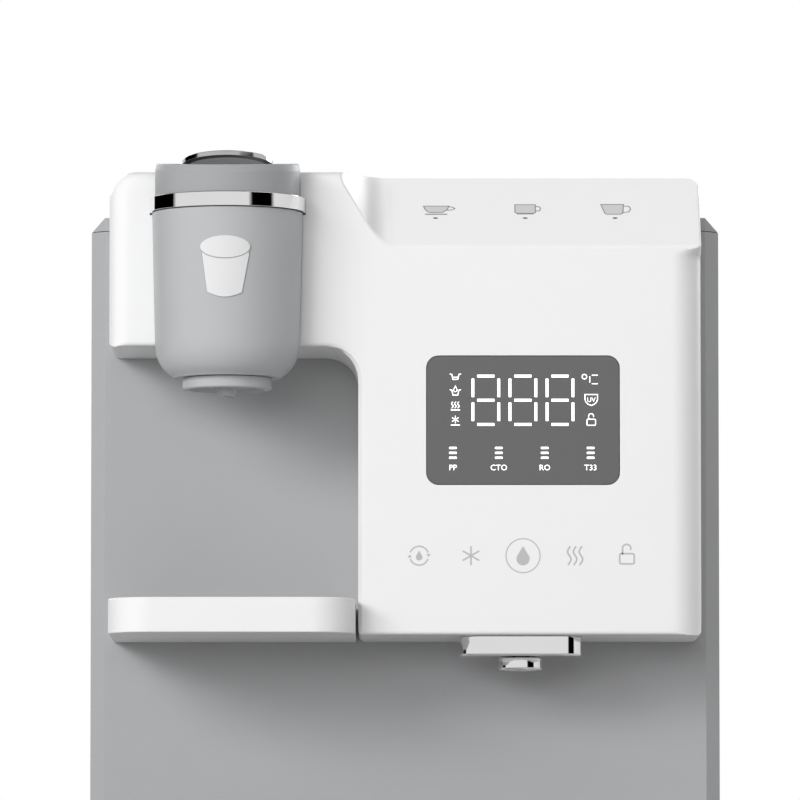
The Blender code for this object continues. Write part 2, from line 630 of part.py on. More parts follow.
def make_shelf():
    low, high = SHELF_X
    back = WALL_Y - GAP
    shelf = plate("cup_shelf", rounded([
        (low, SHELF_FRONT, SHELF_CORNER), (high, SHELF_FRONT, SHELF_CORNER),
        (high, back, 0), (low, back, 0)], 6), SHELF_Z[0], SHELF_Z[1])
    round_edges(shelf, 0.0015, 2, lambda mid, along: abs(along.z) < 0.1 and mid.y < back - 0.001)
    recess = plate("shelf_recess", rounded([
        (low + 0.004, SHELF_FRONT + 0.004, SHELF_CORNER - 0.004),
        (high - 0.004, SHELF_FRONT + 0.004, SHELF_CORNER - 0.004),
        (high - 0.004, back - 0.006, 0.004), (low + 0.004, back - 0.006, 0.004)], 5),
        SHELF_Z[1] - 0.003, 0.24, "XY", True)
    basin = plate("shelf_basin", rounded([
        (low + 0.009, SHELF_FRONT + 0.009, SHELF_CORNER - 0.009),
        (high - 0.009, SHELF_FRONT + 0.009, SHELF_CORNER - 0.009),
        (high - 0.009, -0.131, 0.004), (low + 0.009, -0.131, 0.004)], 4),
        SHELF_Z[0] + WALL, 0.24, "XY", True)
    slots = [((x - 0.0062, -0.1285, 0.2125), (x + 0.0062, -0.07, 0.2195)) for x in PRONG_X]
    cut(shelf, recess, basin, boxes("shelf_sockets", slots, True))
    finish(shelf, "white")

    inset = 0.0044
    grille = plate("shelf_grille", rounded([
        (low + inset, SHELF_FRONT + inset, SHELF_CORNER - inset),
        (high - inset, SHELF_FRONT + inset, SHELF_CORNER - inset),
        (high - inset, back - 0.0064, 0.0036), (low + inset, back - 0.0064, 0.0036)], 5),
        SHELF_Z[1] - 0.0027, SHELF_Z[1] - 0.0004)
    holes = [((low + 0.018 + 0.0083 * k, -0.174, 0.2), (low + 0.0215 + 0.0083 * k, -0.106, 0.24))
             for k in range(11)]
    cut(grille, boxes("shelf_slots", holes, True))
    finish(grille, "steel")

    bracket = box("shelf_bracket", (-0.128, WALL_Y + WALL + GAP, 0.206), (-0.045, WALL_Y + 0.0055, 0.226))
    arms = [((x - 0.0058, -0.1270, 0.2129), (x + 0.0058, WALL_Y + 0.004, 0.2191)) for x in PRONG_X]
    add(bracket, boxes("bracket_arms", arms, True))
    finish(bracket, "steel")


def make_drip_tray():
    tray = box("drip_tray", (-TRAY_HALF, FRONT + 0.0002, 0.0083), (TRAY_HALF, TRAY_BACK, 0.0297))
    cut(tray,
        box("tray_ledge", (-TRAY_HALF + 0.003, FRONT + 0.0045, 0.0268),
            (TRAY_HALF - 0.003, TRAY_BACK - 0.003, 0.04), True),
        box("tray_hollow", (-TRAY_HALF + 0.006, FRONT + 0.0075, 0.0108),
            (TRAY_HALF - 0.006, TRAY_BACK - 0.006, 0.04), True))
    finish(tray, "white")
    grille = box("drip_grille", (-TRAY_HALF + 0.0034, FRONT + 0.0049, 0.0271),
                 (TRAY_HALF - 0.0034, TRAY_BACK - 0.0034, 0.0293))
    slots = [((-0.1215 + 0.0118 * k, -0.189, 0.02), (-0.1165 + 0.0118 * k, -0.105, 0.04))
             for k in range(21)]
    cut(grille, boxes("drip_slots", slots, True))
    finish(grille, "steel")


# ---------------------------------------------------------------- water tank
def make_tank():
    tank = box("water_tank", (-TANK_HALF, TANK_FRONT, SEAT_TOP + GAP), (TANK_HALF, REAR, BODY_TOP))
    round_edges(tank, CHAMFER, 1, lambda mid, along: near(mid.z, BODY_TOP) and abs(along.y) > 0.9)
    round_edges(tank, 0.006, 4, lambda mid, along: near(mid.y, REAR) and abs(along.z) > 0.9)
    hollow = box("tank_hollow", (-TANK_HALF + WALL, TANK_FRONT + WALL, SEAT_TOP + 0.003),
                 (TANK_HALF - WALL, REAR - WALL, SHELL_TOP - 0.003), True)
    mouth = box("tank_mouth", (-0.139, TANK_FRONT + 0.007, 0.40), (0.139, REAR - 0.007, 0.44), True)
    drain = rod("tank_drain", (VALVE_X, VALVE_Y, SEAT_TOP), 0.0075, 0.02, "Z", 24, True)
    cut(tank, hollow, mouth, drain)
    finish(tank, "clear")

    lid = box("tank_lid", (-0.2, COVER_REAR + 0.0010, BODY_TOP + GAP), (0.2, REAR, HEAD_TOP))
    combine(lid, cover_profile("tank_lid_profile"), "INTERSECT")
    cut(lid, box("tank_lid_hollow", (-HEAD_HALF + WALL, COVER_REAR + 0.0035, 0.40),
                 (HEAD_HALF - WALL, REAR - WALL, HEAD_TOP - WALL - 0.002), True))
    finish(lid, "white")

    finish(turned("tank_valve", [
        (0, 0.0895), (0.0072, 0.0895), (0.0072, SEAT_TOP - 0.0001), (0.0118, SEAT_TOP - 0.0001),
        (0.0118, 0.0660), (0.0095, 0.0645), (0, 0.0645)], (VALVE_X, VALVE_Y, 0), steps=24), "white")


# ---------------------------------------------------------------- filters and water works
def make_filters():
    for k, name in enumerate(FILTER_NAMES):
        x = (k - 1.5) * FILTER_PITCH
        body = turned(name, [
            (0, 0.4050), (0.0300, 0.4050), (FILTER_R, 0.4020), (FILTER_R, 0.0690), (0.0300, 0.0660),
            (0.0140, 0.0660), (0.0140, 0.0460), (0, 0.0460)], (x, FILTER_Y, 0), steps=24)
        grip = box(name + "_grip", (x - 0.024, FILTER_Y - 0.004, 0.4040),
                   (x + 0.024, FILTER_Y + 0.004, 0.4170), True)
        finish(add(body, grip), "white")
    manifold = box("filter_manifold", (-0.142, 0.045, 0.0085), (0.142, 0.105, 0.0655))
    sockets = [((k - 1.5) * FILTER_PITCH, FILTER_Y, 0.0655) for k in range(4)]
    cut(manifold, rods("filter_sockets", sockets, 0.0148, 0.044, "Z", 24, True))
    finish(manifold, "black")


def make_water_works():
    hot = turned("hot_tank", [
        (0, 0.3850), (0.0250, 0.3850), (0.0340, 0.3780), (0.0340, 0.2220), (0.0250, 0.2150), (0, 0.2150)],
        (-0.095, -0.022, 0), steps=24)
    finish(hot, "steel")
    cold = turned("cold_tank", [
        (0, 0.3450), (0.0330, 0.3450), (0.0360, 0.3420), (0.0360, 0.2180), (0.0330, 0.2150), (0, 0.2150)],
        (0.010, -0.022, 0), steps=24)
    finish(cold, "foam")
    sink = box("heat_sink", (0.0485, -0.060, 0.235), (0.1000, 0.016, 0.325))
    fins = [((0.0530, -0.0575 + 0.0062 * k, 0.22), (0.11, -0.0533 + 0.0062 * k, 0.34)) for k in range(12)]
    finish(cut(sink, boxes("fin_gaps", fins, True)), "steel")

    fan_middle = (sum(FAN_X) / 2, FAN_Y, FAN_Z)
    frame = box("fan_frame", (FAN_X[0], FAN_Y - 0.040, FAN_Z - 0.040),
                (FAN_X[1], FAN_Y + 0.040, FAN_Z + 0.040))
    cut(frame, rod("fan_bore", fan_middle, FAN_R + 0.0015, 0.03, "X", 32, True))
    add(frame,
        box("fan_spoke", (FAN_X[0], FAN_Y - 0.0015, FAN_Z - 0.039),
            (FAN_X[0] + 0.0018, FAN_Y + 0.0015, FAN_Z + 0.039), True),
        rod("fan_motor_seat", (FAN_X[0] + 0.0009, FAN_Y, FAN_Z), 0.012, 0.0018, "X", 24, True))
    finish(frame, "black")
    rotor = rod("fan_rotor", ((FAN_X[0] + FAN_X[1]) / 2 + 0.001, FAN_Y, FAN_Z), 0.013, 0.0105, "X", 24)
    rotor.data.transform(Matrix.Translation(-Vector(fan_middle)))
    rotor.location = fan_middle
    bm = bmesh.new()
    for k in range(5):
        blade = bmesh.ops.create_cube(bm, size=1.0)["verts"]
        matrix = (Matrix.Translation(fan_middle) @ Matrix.Rotation(math.tau * k / 5, 4, "X")
                  @ Matrix.Translation((0.001, 0, 0.0235)) @ Matrix.Rotation(math.radians(35), 4, "Z")
                  @ Matrix.Diagonal((0.0012, 0.0145, 0.0240, 1.0)))
        bmesh.ops.transform(bm, matrix=matrix, verts=blade)
    add(rotor, from_bmesh("fan_blades", bm, True))
    finish(rotor, "black")

    finish(turned("booster_pump", [
        (0, 0.060), (0.0170, 0.060), (0.0180, 0.059), (0.0180, 0.010), (0.0245, 0.008), (0.0245, -0.040),
        (0.0230, -0.042), (0, -0.042)], (0.030, -0.030, 0.052), "X", steps=20), "black")
    finish(turned("brew_pump", [
        (0, 0.1780), (0.0080, 0.1780), (0.0080, 0.1640), (0.0170, 0.1620), (0.0170, 0.1200),
        (0.0090, 0.1180), (0.0090, 0.0980), (0, 0.0980)], (-0.095, -0.022, 0), steps=16), "black")
    finish(turned("uv_chamber", [
        (0, 0.058), (0.0070, 0.058), (0.0090, 0.056), (0.0090, -0.056), (0.0070, -0.058), (0, -0.058)],
        (0.075, -0.030, 0.185), "X", steps=16), "steel")
    valve = box("solenoid_valve", (0.040, -0.045, 0.110), (0.080, -0.015, 0.132))
    add(valve, rod("valve_coil", (0.060, -0.030, 0.145), 0.011, 0.030, "Z", 20, True))
    finish(valve, "white")

    finish(box("power_supply", (-0.148, -0.068, 0.0085), (-0.055, -0.005, 0.046)), "steel")
    finish(box("main_board", (-0.148, -0.0765, 0.060), (-0.030, -0.0749, 0.190)), "board")

    finish(tube("brew_pipe", [
        (-0.095, -0.022, 0.3856), (-0.095, -0.022, 0.3930), (-0.0945, -0.026, 0.3985),
        (-0.0935, -0.033, 0.4000), (-0.0900, -0.060, 0.4000), (BREW_X, -0.090, 0.4000),
        (BREW_X, -0.1262, 0.4000)], 0.003), "foam")
    finish(tube("spout_pipe", [
        (0.0300, -0.0530, 0.2600), (0.0360, -0.0620, 0.2600), (0.0500, -0.0800, 0.2600),
        (0.0570, -0.1050, 0.2590), (SPOUT_X, -0.1220, 0.2540), (SPOUT_X, -0.1290, 0.2460),
        (SPOUT_X, SPOUT_Y, 0.2350), (SPOUT_X, SPOUT_Y, 0.1990)], 0.0032), "foam")


def shade_round():
    """Smooth shading that breaks at real edges."""
    for obj in PARTS.objects:
        if obj.type == "MESH":
            obj.data.shade_smooth()
            obj.data.set_sharp_from_angle(angle=math.radians(35))


clear_scene()
PARTS = new_collection("countertop_water_dispenser")
CUTTERS = new_collection("cutters")
make_base()
make_body()
make_tank_seat()
make_head()
make_covers()
make_brew()
make_spout()
make_shelf()
make_drip_tray()
make_tank()
make_filters()
make_water_works()
shade_round()
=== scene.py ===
"""The looks of a countertop water dispenser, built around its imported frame.

Metres, +Z up, the front faces -Y. CAD pieces whose shape is right keep it and get a finish and
softened edges; the pieces that carry the look are modelled again here at the same size.
"""
import math

import bmesh
import bpy
from mathutils import Matrix, Vector


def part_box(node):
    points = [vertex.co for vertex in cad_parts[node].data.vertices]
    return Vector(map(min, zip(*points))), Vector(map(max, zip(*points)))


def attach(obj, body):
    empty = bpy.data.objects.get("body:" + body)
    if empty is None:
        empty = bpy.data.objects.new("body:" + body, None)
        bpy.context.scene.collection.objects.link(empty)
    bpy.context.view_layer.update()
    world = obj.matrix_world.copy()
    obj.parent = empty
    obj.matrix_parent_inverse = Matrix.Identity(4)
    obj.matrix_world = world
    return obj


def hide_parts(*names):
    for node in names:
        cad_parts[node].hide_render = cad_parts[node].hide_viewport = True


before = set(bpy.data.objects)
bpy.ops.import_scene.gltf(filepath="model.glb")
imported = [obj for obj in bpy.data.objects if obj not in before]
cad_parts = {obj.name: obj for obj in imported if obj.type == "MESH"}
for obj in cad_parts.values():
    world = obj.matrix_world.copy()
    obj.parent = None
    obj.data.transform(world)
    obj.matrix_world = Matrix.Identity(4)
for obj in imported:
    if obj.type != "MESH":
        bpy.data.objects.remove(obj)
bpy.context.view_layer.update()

MM = 0.001
MACHINE = "machine"

# Camera: level with the worktop, far in front, tilted up a little
CAMERA_AT = (-0.00255, -4.260, 0.006)
CAMERA_TARGET = (-0.00255, -0.160, 0.326)
CAMERA_LENS = 370.0

# White head
HEAD_LOW, HEAD_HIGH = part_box("head_shell")
HEAD_Y = HEAD_LOW.y
HEAD_BACK = HEAD_HIGH.y
ARM_BOTTOM = 0.353
NICHE_X = -0.02345
NICHE_ROUND = 0.017
OUTLINE_ROUND = 0.003
TOP_LEFT_ROUND = 0.0135
TOP_RIGHT_ROUND = 0.0065
LEFT_EDGE = 0.010
RIGHT_EDGE = 0.015
RIGHT_EDGE_ON_SLOPE = 0.002
TOP_EDGE = 0.007
SMALL_EDGE = 0.0025
FOLD_Z = 0.403
SLOPE_DEPTH = 0.035
SLOPE_LEFT = -0.0118
SLOPE_LEAN_Z = -0.611
SLOPE_LEAN_Y = 0.598
VALLEY_BLEND = 0.0124
GROOVE_DEPTH = 0.0002
GROOVE_REACH = 0.0005
SHELL_WALL = 0.0025

# Brew head
BREW_X = -0.08885
BREW_Y = -0.165
RING_R = 0.039
BARREL_TOP = 0.4190
LID_WELL = (0.0367, 0.0405)
# The lid's top above this height leans down in front of the brow
LID_LEAN_FROM = 0.4385
LID_BROW_Y = -0.1626
LID_LEAN = math.radians(6.5)
LEVER_HINGE = Vector((BREW_X, -0.1435, 0.4407))
LEVER_TILT = math.radians(8.3)

# Light: dark flags between these azimuths, in degrees from the camera, and below this height
DARK_FLAGS = ((-140, -84), (35, 72))
FLAG_HEIGHT = 0.30
FILL_LIGHT = 0.21
HORIZON_GLOW = 0.56
HORIZON_MIDDLE = 0.17
HORIZON_HEIGHT = 0.28
REAR_GLOW = 0.75
REAR_FROM = 0.77
REAR_HEIGHT = 0.55
LIGHT_TARGET = Vector((0, -0.1, 0.25))
# name, azimuth right of the camera, elevation, distance, width, height, watts, seen in chrome
LIGHTS = (
    ("key", -37, 19, 4.5, 2.6, 1.2, 116, False),
    ("low_front", -14, 7, 4.5, 3.0, 0.8, 44, False),
    ("upper_right", 84, 60, 3.0, 1.6, 1.6, 20, True),
    ("rear_right", 140, 22, 3.5, 2.2, 1.4, 58, True),
    ("rear_left", -150, 25, 3.5, 1.6, 1.6, 32, True),
)
FLOOR_GREY = 0.50

# Spout, and where the cup shelf's two mounting prongs enter
SPOUT_BORE = 0.0048
SHELF_PRONGS = (-0.118, -0.055)

PARTS = bpy.data.collections.new("looks")
bpy.context.scene.collection.children.link(PARTS)
HELPERS = bpy.data.collections.new("cutters")
bpy.context.scene.collection.children.link(HELPERS)


# ---------------------------------------------------------------- materials
class Finish:
    """A material that is built from a few noise textures in the piece's own coordinates."""

    def __init__(self, name, scale=(1, 1, 1)):
        self.material = bpy.data.materials.new(name)
        self.material.use_nodes = True
        self.nodes, self.links = self.material.node_tree.nodes, self.material.node_tree.links
        self.shader = self.nodes["Principled BSDF"]
        coordinates = self.nodes.new("ShaderNodeTexCoord")
        mapping = self.nodes.new("ShaderNodeMapping")
        mapping.inputs["Scale"].default_value = scale
        self.links.new(coordinates.outputs["Object"], mapping.inputs["Vector"])
        self.vector = mapping.outputs["Vector"]

    def put(self, node, values):
        """Set a node's inputs, each from a plain value or from another node's output."""
        for name, value in values.items():
            if isinstance(value, bpy.types.NodeSocket):
                self.links.new(value, node.inputs[name])
            else:
                node.inputs[name].default_value = value
        return node

    def noise(self, scale, detail=2.0, rough=0.5):
        node = self.nodes.new("ShaderNodeTexNoise")
        self.put(node, {"Scale": scale, "Detail": detail, "Roughness": rough, "Vector": self.vector})
        return node.outputs["Fac"]

    def spread(self, value, low, high):
        """Map a noise value's middle range to low..high."""
        node = self.nodes.new("ShaderNodeMapRange")
        self.put(node, {"From Min": 0.3, "From Max": 0.7, "To Min": low, "To Max": high, "Value": value})
        return node.outputs["Result"]

    def tinted(self, value, colour, change):
        """The colour, a little darker or lighter as the value goes from 0 to 1."""
        node = self.nodes.new("ShaderNodeMix")
        node.data_type = "RGBA"
        self.put(node, {"A": (*[c * (1 - change) for c in colour], 1),
                        "B": (*[min(1.0, c * (1 + change)) for c in colour], 1), "Factor": value})
        return node.outputs["Result"]

    def bumped(self, value, strength, distance):
        node = self.nodes.new("ShaderNodeBump")
        self.put(node, {"Strength": strength, "Distance": distance, "Height": value})
        self.put(self.shader, {"Normal": node.outputs["Normal"]})

    def done(self, **values):
        """Set the shader's inputs, named with underscores for their spaces, and give the material."""
        self.put(self.shader, {name.replace("_", " "): value for name, value in values.items()})
        return self.material


def moulded(name, colour, roughness, grain=0.25, grain_scale=1500.0, change=0.012, specular=0.5, painted_glow=0.0):
    """Moulded plastic: a fine spark-eroded grain and faint flow marks in colour and gloss; any emission is
    a painted glow, not a lamp.
    """
    look = Finish(name)
    flow = look.spread(look.noise(9.0, 3.0), 0, 1)
    worn = look.spread(look.noise(60.0, 4.0, 0.6), roughness * 0.88, roughness * 1.12)
    look.bumped(look.noise(grain_scale), grain, 0.00004)
    return look.done(Base_Color=look.tinted(flow, colour, change), Roughness=worn,
                     Specular_IOR_Level=specular, Emission_Strength=painted_glow)


def chromed(name, colour=(0.86, 0.86, 0.87), roughness=0.045):
    """Chrome plating: a mirror with a trace of orange peel and fingerprint haze."""
    look = Finish(name)
    haze = look.noise(45.0, 5.0, 0.6)
    look.bumped(look.noise(250.0, 1.0), 0.04, 0.00003)
    return look.done(Base_Color=look.tinted(haze, colour, 0.02), Metallic=1.0,
                     Roughness=look.spread(haze, roughness * 0.6, roughness * 1.6))


def brushed(name, colour, roughness, along="X"):
    """Brushed or extruded metal: fine lines that run one way."""
    look = Finish(name, [8 if axis == along else 900 for axis in "XYZ"])
    brush = look.noise(1.0, 3.0, 0.6)
    look.bumped(brush, 0.15, 0.00003)
    return look.done(Base_Color=look.tinted(brush, colour, 0.10), Metallic=1.0,
                     Roughness=look.spread(brush, roughness * 0.75, roughness * 1.3))


def clear_plastic(name, colour, roughness, share):
    """Tinted see-through plastic, a little cloudy."""
    look = Finish(name)
    cloud = look.noise(20.0, 3.0)
    look.bumped(look.noise(400.0), 0.05, 0.00003)
    return look.done(Base_Color=look.tinted(cloud, colour, 0.03), Transmission_Weight=share, IOR=1.49,
                     Roughness=look.spread(cloud, roughness * 0.8, roughness * 1.4))


def lit(name, colour, strength):
    """A lit legend behind the window, slightly uneven."""
    look = Finish(name)
    uneven = look.tinted(look.noise(300.0), colour, 0.03)
    return look.done(Emission_Color=uneven, Base_Color=uneven, Emission_Strength=strength, Roughness=0.4)


def printed(name, colour, roughness=0.5):
    """Pad-printed ink: a fine speckle from the screen."""
    look = Finish(name)
    speckle = look.noise(2500.0)
    look.bumped(speckle, 0.1, 0.00002)
    return look.done(Base_Color=look.tinted(speckle, colour, 0.04), Roughness=roughness)


GREY = moulded("shell_grey", (0.385, 0.388, 0.395), 0.50, 0.30)
HOUSING_GREY = moulded("brew_grey", (0.43, 0.44, 0.45), 0.38, 0.15, 2200.0)
LID_GREY = moulded("lid_grey", (0.335, 0.343, 0.352), 0.46, 0.15, 2200.0, specular=0.3)
WHITE = moulded("head_white", (0.80, 0.80, 0.80), 0.33, 0.10, 1800.0, 0.004)
SHELF_WHITE = moulded("shelf_white", (0.80, 0.80, 0.80), 0.40, 0.05, 1800.0, 0.004, 0.4)
INNER_WHITE = moulded("white_plastic", (0.74, 0.74, 0.72), 0.45, 0.15)
BLACK = moulded("black_plastic", (0.028, 0.028, 0.031), 0.45, 0.35)
RUBBER = moulded("rubber", (0.025, 0.025, 0.025), 0.80, 0.6, 900.0, 0.08, 0.3)
FOAM = moulded("insulation", (0.70, 0.71, 0.72), 0.90, 1.0, 500.0, 0.05, 0.2)
SILICONE = moulded("silicone", (0.72, 0.73, 0.73), 0.35, 0.1)
CHROME = chromed("chrome", (0.90, 0.90, 0.905))
DIM_CHROME = chromed("lever_chrome", (0.60, 0.60, 0.61), 0.09)
STEEL = brushed("steel", (0.62, 0.62, 0.63), 0.28, "X")
ALUMINIUM = brushed("aluminium", (0.70, 0.71, 0.72), 0.40, "Z")
WINDOW = moulded("window_smoke", (0.112, 0.112, 0.114), 0.16, 0.02, 2000.0, 0.01)
# The lens's pale grey base and faint emission are painted light that lifts its shaded underside; the lens
# is no lamp.
LENS = moulded("lens_smoke", (0.55, 0.55, 0.555), 0.30, 0.02, 2000.0, 0.01, painted_glow=0.09)
TANK = clear_plastic("tank_clear", (0.78, 0.83, 0.86), 0.10, 0.88)
BOARD = moulded("board", (0.015, 0.13, 0.055), 0.45, 0.4, 700.0, 0.10)
INK = printed("grey_ink", (0.47, 0.47, 0.47))
PALE_INK = printed("pale_ink", (0.56, 0.56, 0.56))
LINE_INK = printed("line_ink", (0.26, 0.26, 0.26))
DARK_INK = printed("dark_ink", (0.09, 0.09, 0.09))
LIGHT = lit("display_light", (1.0, 1.0, 1.0), 1.0)
BADGE = moulded("badge_white", (0.70, 0.70, 0.70), 0.40, 0.05)
BADGE_LINE = printed("badge_line", (0.30, 0.31, 0.31))


# ---------------------------------------------------------------- mesh helpers
def modify(obj, kind, **settings):
    modifier = obj.modifiers.new(kind.title(), kind)
    for name, value in settings.items():
        setattr(modifier, name, value)


def new_object(name, bm, collection, material=None):
    """Turn a bmesh into an object, with its faces turned outward."""
    mesh = bpy.data.meshes.new(name)
    bmesh.ops.recalc_face_normals(bm, faces=bm.faces)
    bm.to_mesh(mesh)
    bm.free()
    obj = bpy.data.objects.new(name, mesh)
    collection.objects.link(obj)
    if material:
        mesh.materials.append(material)
    return obj


def dress(obj, body=MACHINE, cad=(), angle=32):
    """Finish a piece: large flat faces stay flat, and it rides on a body and may stand for CAD nodes."""
    obj.data.shade_smooth()
    obj.data.set_sharp_from_angle(angle=math.radians(angle))
    modify(obj, "WEIGHTED_NORMAL", keep_sharp=True)
    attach(obj, body)
    if cad:
        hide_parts(*cad)


def piece(name, bm, material, body=MACHINE, cad=(), angle=32):
    dress(new_object(name, bm, PARTS, material), body, cad, angle)


def helper(name, bm):
    """A cutter, kept apart from the pieces until it has been used."""
    return new_object(name, bm, HELPERS)


def applied(obj):
    """The object's mesh, with its modifiers or its text turned into faces."""
    bpy.context.view_layer.update()
    return bpy.data.meshes.new_from_object(obj.evaluated_get(bpy.context.evaluated_depsgraph_get()))


def cut_now(obj, cutters):
    """Subtract the cutters, apply the result and remove the cutters."""
    for cutter in cutters:
        modify(obj, "BOOLEAN", operation="DIFFERENCE", solver="EXACT", object=cutter)
    mesh = applied(obj)
    obj.modifiers.clear()
    obj.data = mesh
    for cutter in cutters:
        bpy.data.objects.remove(cutter, do_unlink=True)


def box_mesh(bm, low, high):
    low, high = Vector(low), Vector(high)
    size = Matrix.Diagonal((*(high - low), 1.0))
    bmesh.ops.create_cube(bm, size=1.0, matrix=Matrix.Translation((low + high) / 2) @ size)


def oval(x, y, half_wide, half_high, steps):
    return [(x + half_wide * math.cos(math.tau * k / steps), y + half_high * math.sin(math.tau * k / steps))
            for k in range(steps)]


def turned_mesh(profile, centre, steps=96, ring=False):
    """A surface of revolution about the upright axis through the centre."""
    bm = bmesh.new()
    rings = []
    for radius, height in profile:
        around = oval(*centre, radius, radius, steps) if radius > 0 else [centre]
        rings.append([bm.verts.new((*point, height)) for point in around])
    pairs = list(zip(rings, rings[1:]))
    if ring:
        pairs.append((rings[-1], rings[0]))
    for upper, lower in pairs:
        for k in range(steps):
            k2 = (k + 1) % steps
            corners = (upper[k % len(upper)], lower[k % len(lower)],
                       lower[k2 % len(lower)], upper[k2 % len(upper)])
            unique = list(dict.fromkeys(corners))
            if len(unique) > 2:
                bm.faces.new(unique)
    return bm


def arc(centre, radius, start, end, steps):
    """Points on an arc, in degrees, as (across, up) pairs."""
    return [(centre[0] + radius * math.cos(math.radians(start + (end - start) * k / steps)),
             centre[1] + radius * math.sin(math.radians(start + (end - start) * k / steps)))
            for k in range(steps + 1)]


def filleted(corners, steps=8):
    """An outline from (x, y, radius) corners with an arc at each corner."""
    points = []
    count = len(corners)
    for i, (x, y, radius) in enumerate(corners):
        here = Vector((x, y))
        if radius <= 0:
            points.append((x, y))
            continue
        back = (Vector(corners[i - 1][:2]) - here).normalized()
        ahead = (Vector(corners[(i + 1) % count][:2]) - here).normalized()
        half = math.acos(max(-1.0, min(1.0, back.dot(ahead)))) / 2
        middle = here + (back + ahead).normalized() * (radius / math.sin(half))
        start = here + back * (radius / math.tan(half)) - middle
        end = here + ahead * (radius / math.tan(half)) - middle
        turn = math.atan2(start.x * end.y - start.y * end.x, start.dot(end))
        for k in range(steps + 1):
            spin = Matrix.Rotation(turn * k / steps, 2)
            points.append(tuple(middle + spin @ start))
    return points


def rect(low_x, low_y, high_x, high_y, radius=0.0, steps=6):
    return filleted([(low_x, low_y, radius), (high_x, low_y, radius),
                     (high_x, high_y, radius), (low_x, high_y, radius)], steps)


def prism(bm, outline, low, high, place=Matrix.Identity(4)):
    """Add a closed prism from an outline, between two heights, to the mesh."""
    bottom = [bm.verts.new(place @ Vector((x, y, low))) for x, y in outline]
    top = [bm.verts.new(place @ Vector((x, y, high))) for x, y in outline]
    bm.faces.new(bottom)
    bm.faces.new(top)
    for k in range(len(outline)):
        k2 = (k + 1) % len(outline)
        bm.faces.new((bottom[k], bottom[k2], top[k2], top[k]))


def slab(outline, low, high, place=Matrix.Identity(4)):
    """One closed prism as a bmesh of its own."""
    bm = bmesh.new()
    prism(bm, outline, low, high, place)
    bmesh.ops.recalc_face_normals(bm, faces=bm.faces)
    return bm


def drilled(centre, radius, depth, segments=32, turn=Matrix.Identity(4)):
    """A round cutter about a centre, upright unless it is turned."""
    bm = bmesh.new()
    bmesh.ops.create_cone(bm, cap_ends=True, segments=segments, radius1=radius, radius2=radius, depth=depth,
                          matrix=Matrix.Translation(centre) @ turn)
    return bm


def soften(bm, width, segments, pick):
    edges = [e for e in bm.edges if pick((e.verts[0].co + e.verts[1].co) / 2,
                                         (e.verts[1].co - e.verts[0].co).normalized())]
    bmesh.ops.bevel(bm, geom=edges, offset=width, segments=segments, profile=0.5, affect="EDGES",
                    clamp_overlap=True)


FRONT_FACE = Matrix(((1, 0, 0, 0), (0, 0, -1, HEAD_Y), (0, 1, 0, 0), (0, 0, 0, 1)))
SLOPE_ANGLE = math.atan2(HEAD_HIGH.z - FOLD_Z, SLOPE_DEPTH)
SLOPE_FACE = Matrix.Translation((0, HEAD_Y, FOLD_Z)) @ Matrix.Rotation(SLOPE_ANGLE, 4, "X")


# ---------------------------------------------------------------- the white head
def quarter(distance, radius):
    """How far a quarter-round of that radius sets the surface back, at a distance from the edge."""
    if distance >= radius:
        return 0.0
    inward = radius - max(distance, 0.0)
    return radius - math.sqrt(max(radius * radius - inward * inward, 0.0))


def corner_reach(radius, beyond):
    """How far a rounded outline corner pulls a line in, that far beyond where its arc starts."""
    if beyond <= 0:
        return 0.0
    return radius - math.sqrt(max(radius * radius - min(beyond, radius) ** 2, 0.0))


def soft_min(a, b, blend):
    h = max(blend - abs(a - b), 0.0) / blend
    return min(a, b) - h * h * blend / 4


def soft_max(a, b, blend):
    return -soft_min(-a, -b, blend)


def niche_distance(x, z):
    """Distance into the head from the edge of the cup niche, along wall, arc and ceiling."""
    cx, cz = NICHE_X - NICHE_ROUND, ARM_BOTTOM - NICHE_ROUND
    if x >= cx and z >= cz:
        return math.hypot(x - cx, z - cz) - NICHE_ROUND
    return x - NICHE_X if z < cz else z - ARM_BOTTOM


def head_depth(x, z):
    """How far the head's front surface lies behind its front plane."""
    low, high, top, bottom = HEAD_LOW.x, HEAD_HIGH.x, HEAD_HIGH.z, HEAD_LOW.z
    cx, cz = low + TOP_LEFT_ROUND, top - TOP_LEFT_ROUND
    if x < cx and z > cz:
        turn = math.atan2(z - cz, cx - x) / (math.pi / 2)
        edge = LEFT_EDGE + (TOP_EDGE - LEFT_EDGE) * turn
        depth = quarter(TOP_LEFT_ROUND - math.hypot(x - cx, z - cz), edge)
    else:
        depth = max(quarter(x - low, LEFT_EDGE), quarter(top - z, TOP_EDGE))
    settle_down = min(max((FOLD_Z + 0.001 - z) / 0.006, 0.0), 1.0)
    settle_down = settle_down * settle_down * (3 - 2 * settle_down)
    right = RIGHT_EDGE_ON_SLOPE + (RIGHT_EDGE - RIGHT_EDGE_ON_SLOPE) * settle_down
    depth = max(depth, quarter(high - x, right))
    depth = max(depth, quarter(z - bottom, 0.002), quarter(niche_distance(x, z), SMALL_EDGE))

    rise = top - FOLD_Z
    slope = (z - FOLD_Z) * SLOPE_DEPTH / rise
    wedge = (x - SLOPE_LEFT - SLOPE_LEAN_Z * (z - FOLD_Z)) / SLOPE_LEAN_Y
    slope = soft_min(slope, wedge, VALLEY_BLEND)
    if x > high - RIGHT_EDGE_ON_SLOPE:
        slope += quarter(high - x, RIGHT_EDGE_ON_SLOPE)
    if slope <= -0.01:
        return depth
    return soft_max(depth, slope, 0.0012) + GROOVE_DEPTH * max(0.0, 1.0 - abs(slope) / GROOVE_REACH)


def crease_x(z):
    """Where the left flank of the slope meets the front plane, at a height above the fold."""
    rise = max(z - FOLD_Z, 0.0)
    slope = rise * SLOPE_DEPTH / (HEAD_HIGH.z - FOLD_Z)
    flank = (math.sqrt(slope) - math.sqrt(VALLEY_BLEND)) ** 2 if slope < VALLEY_BLEND else 0.0
    return SLOPE_LEFT + SLOPE_LEAN_Z * rise + SLOPE_LEAN_Y * flank


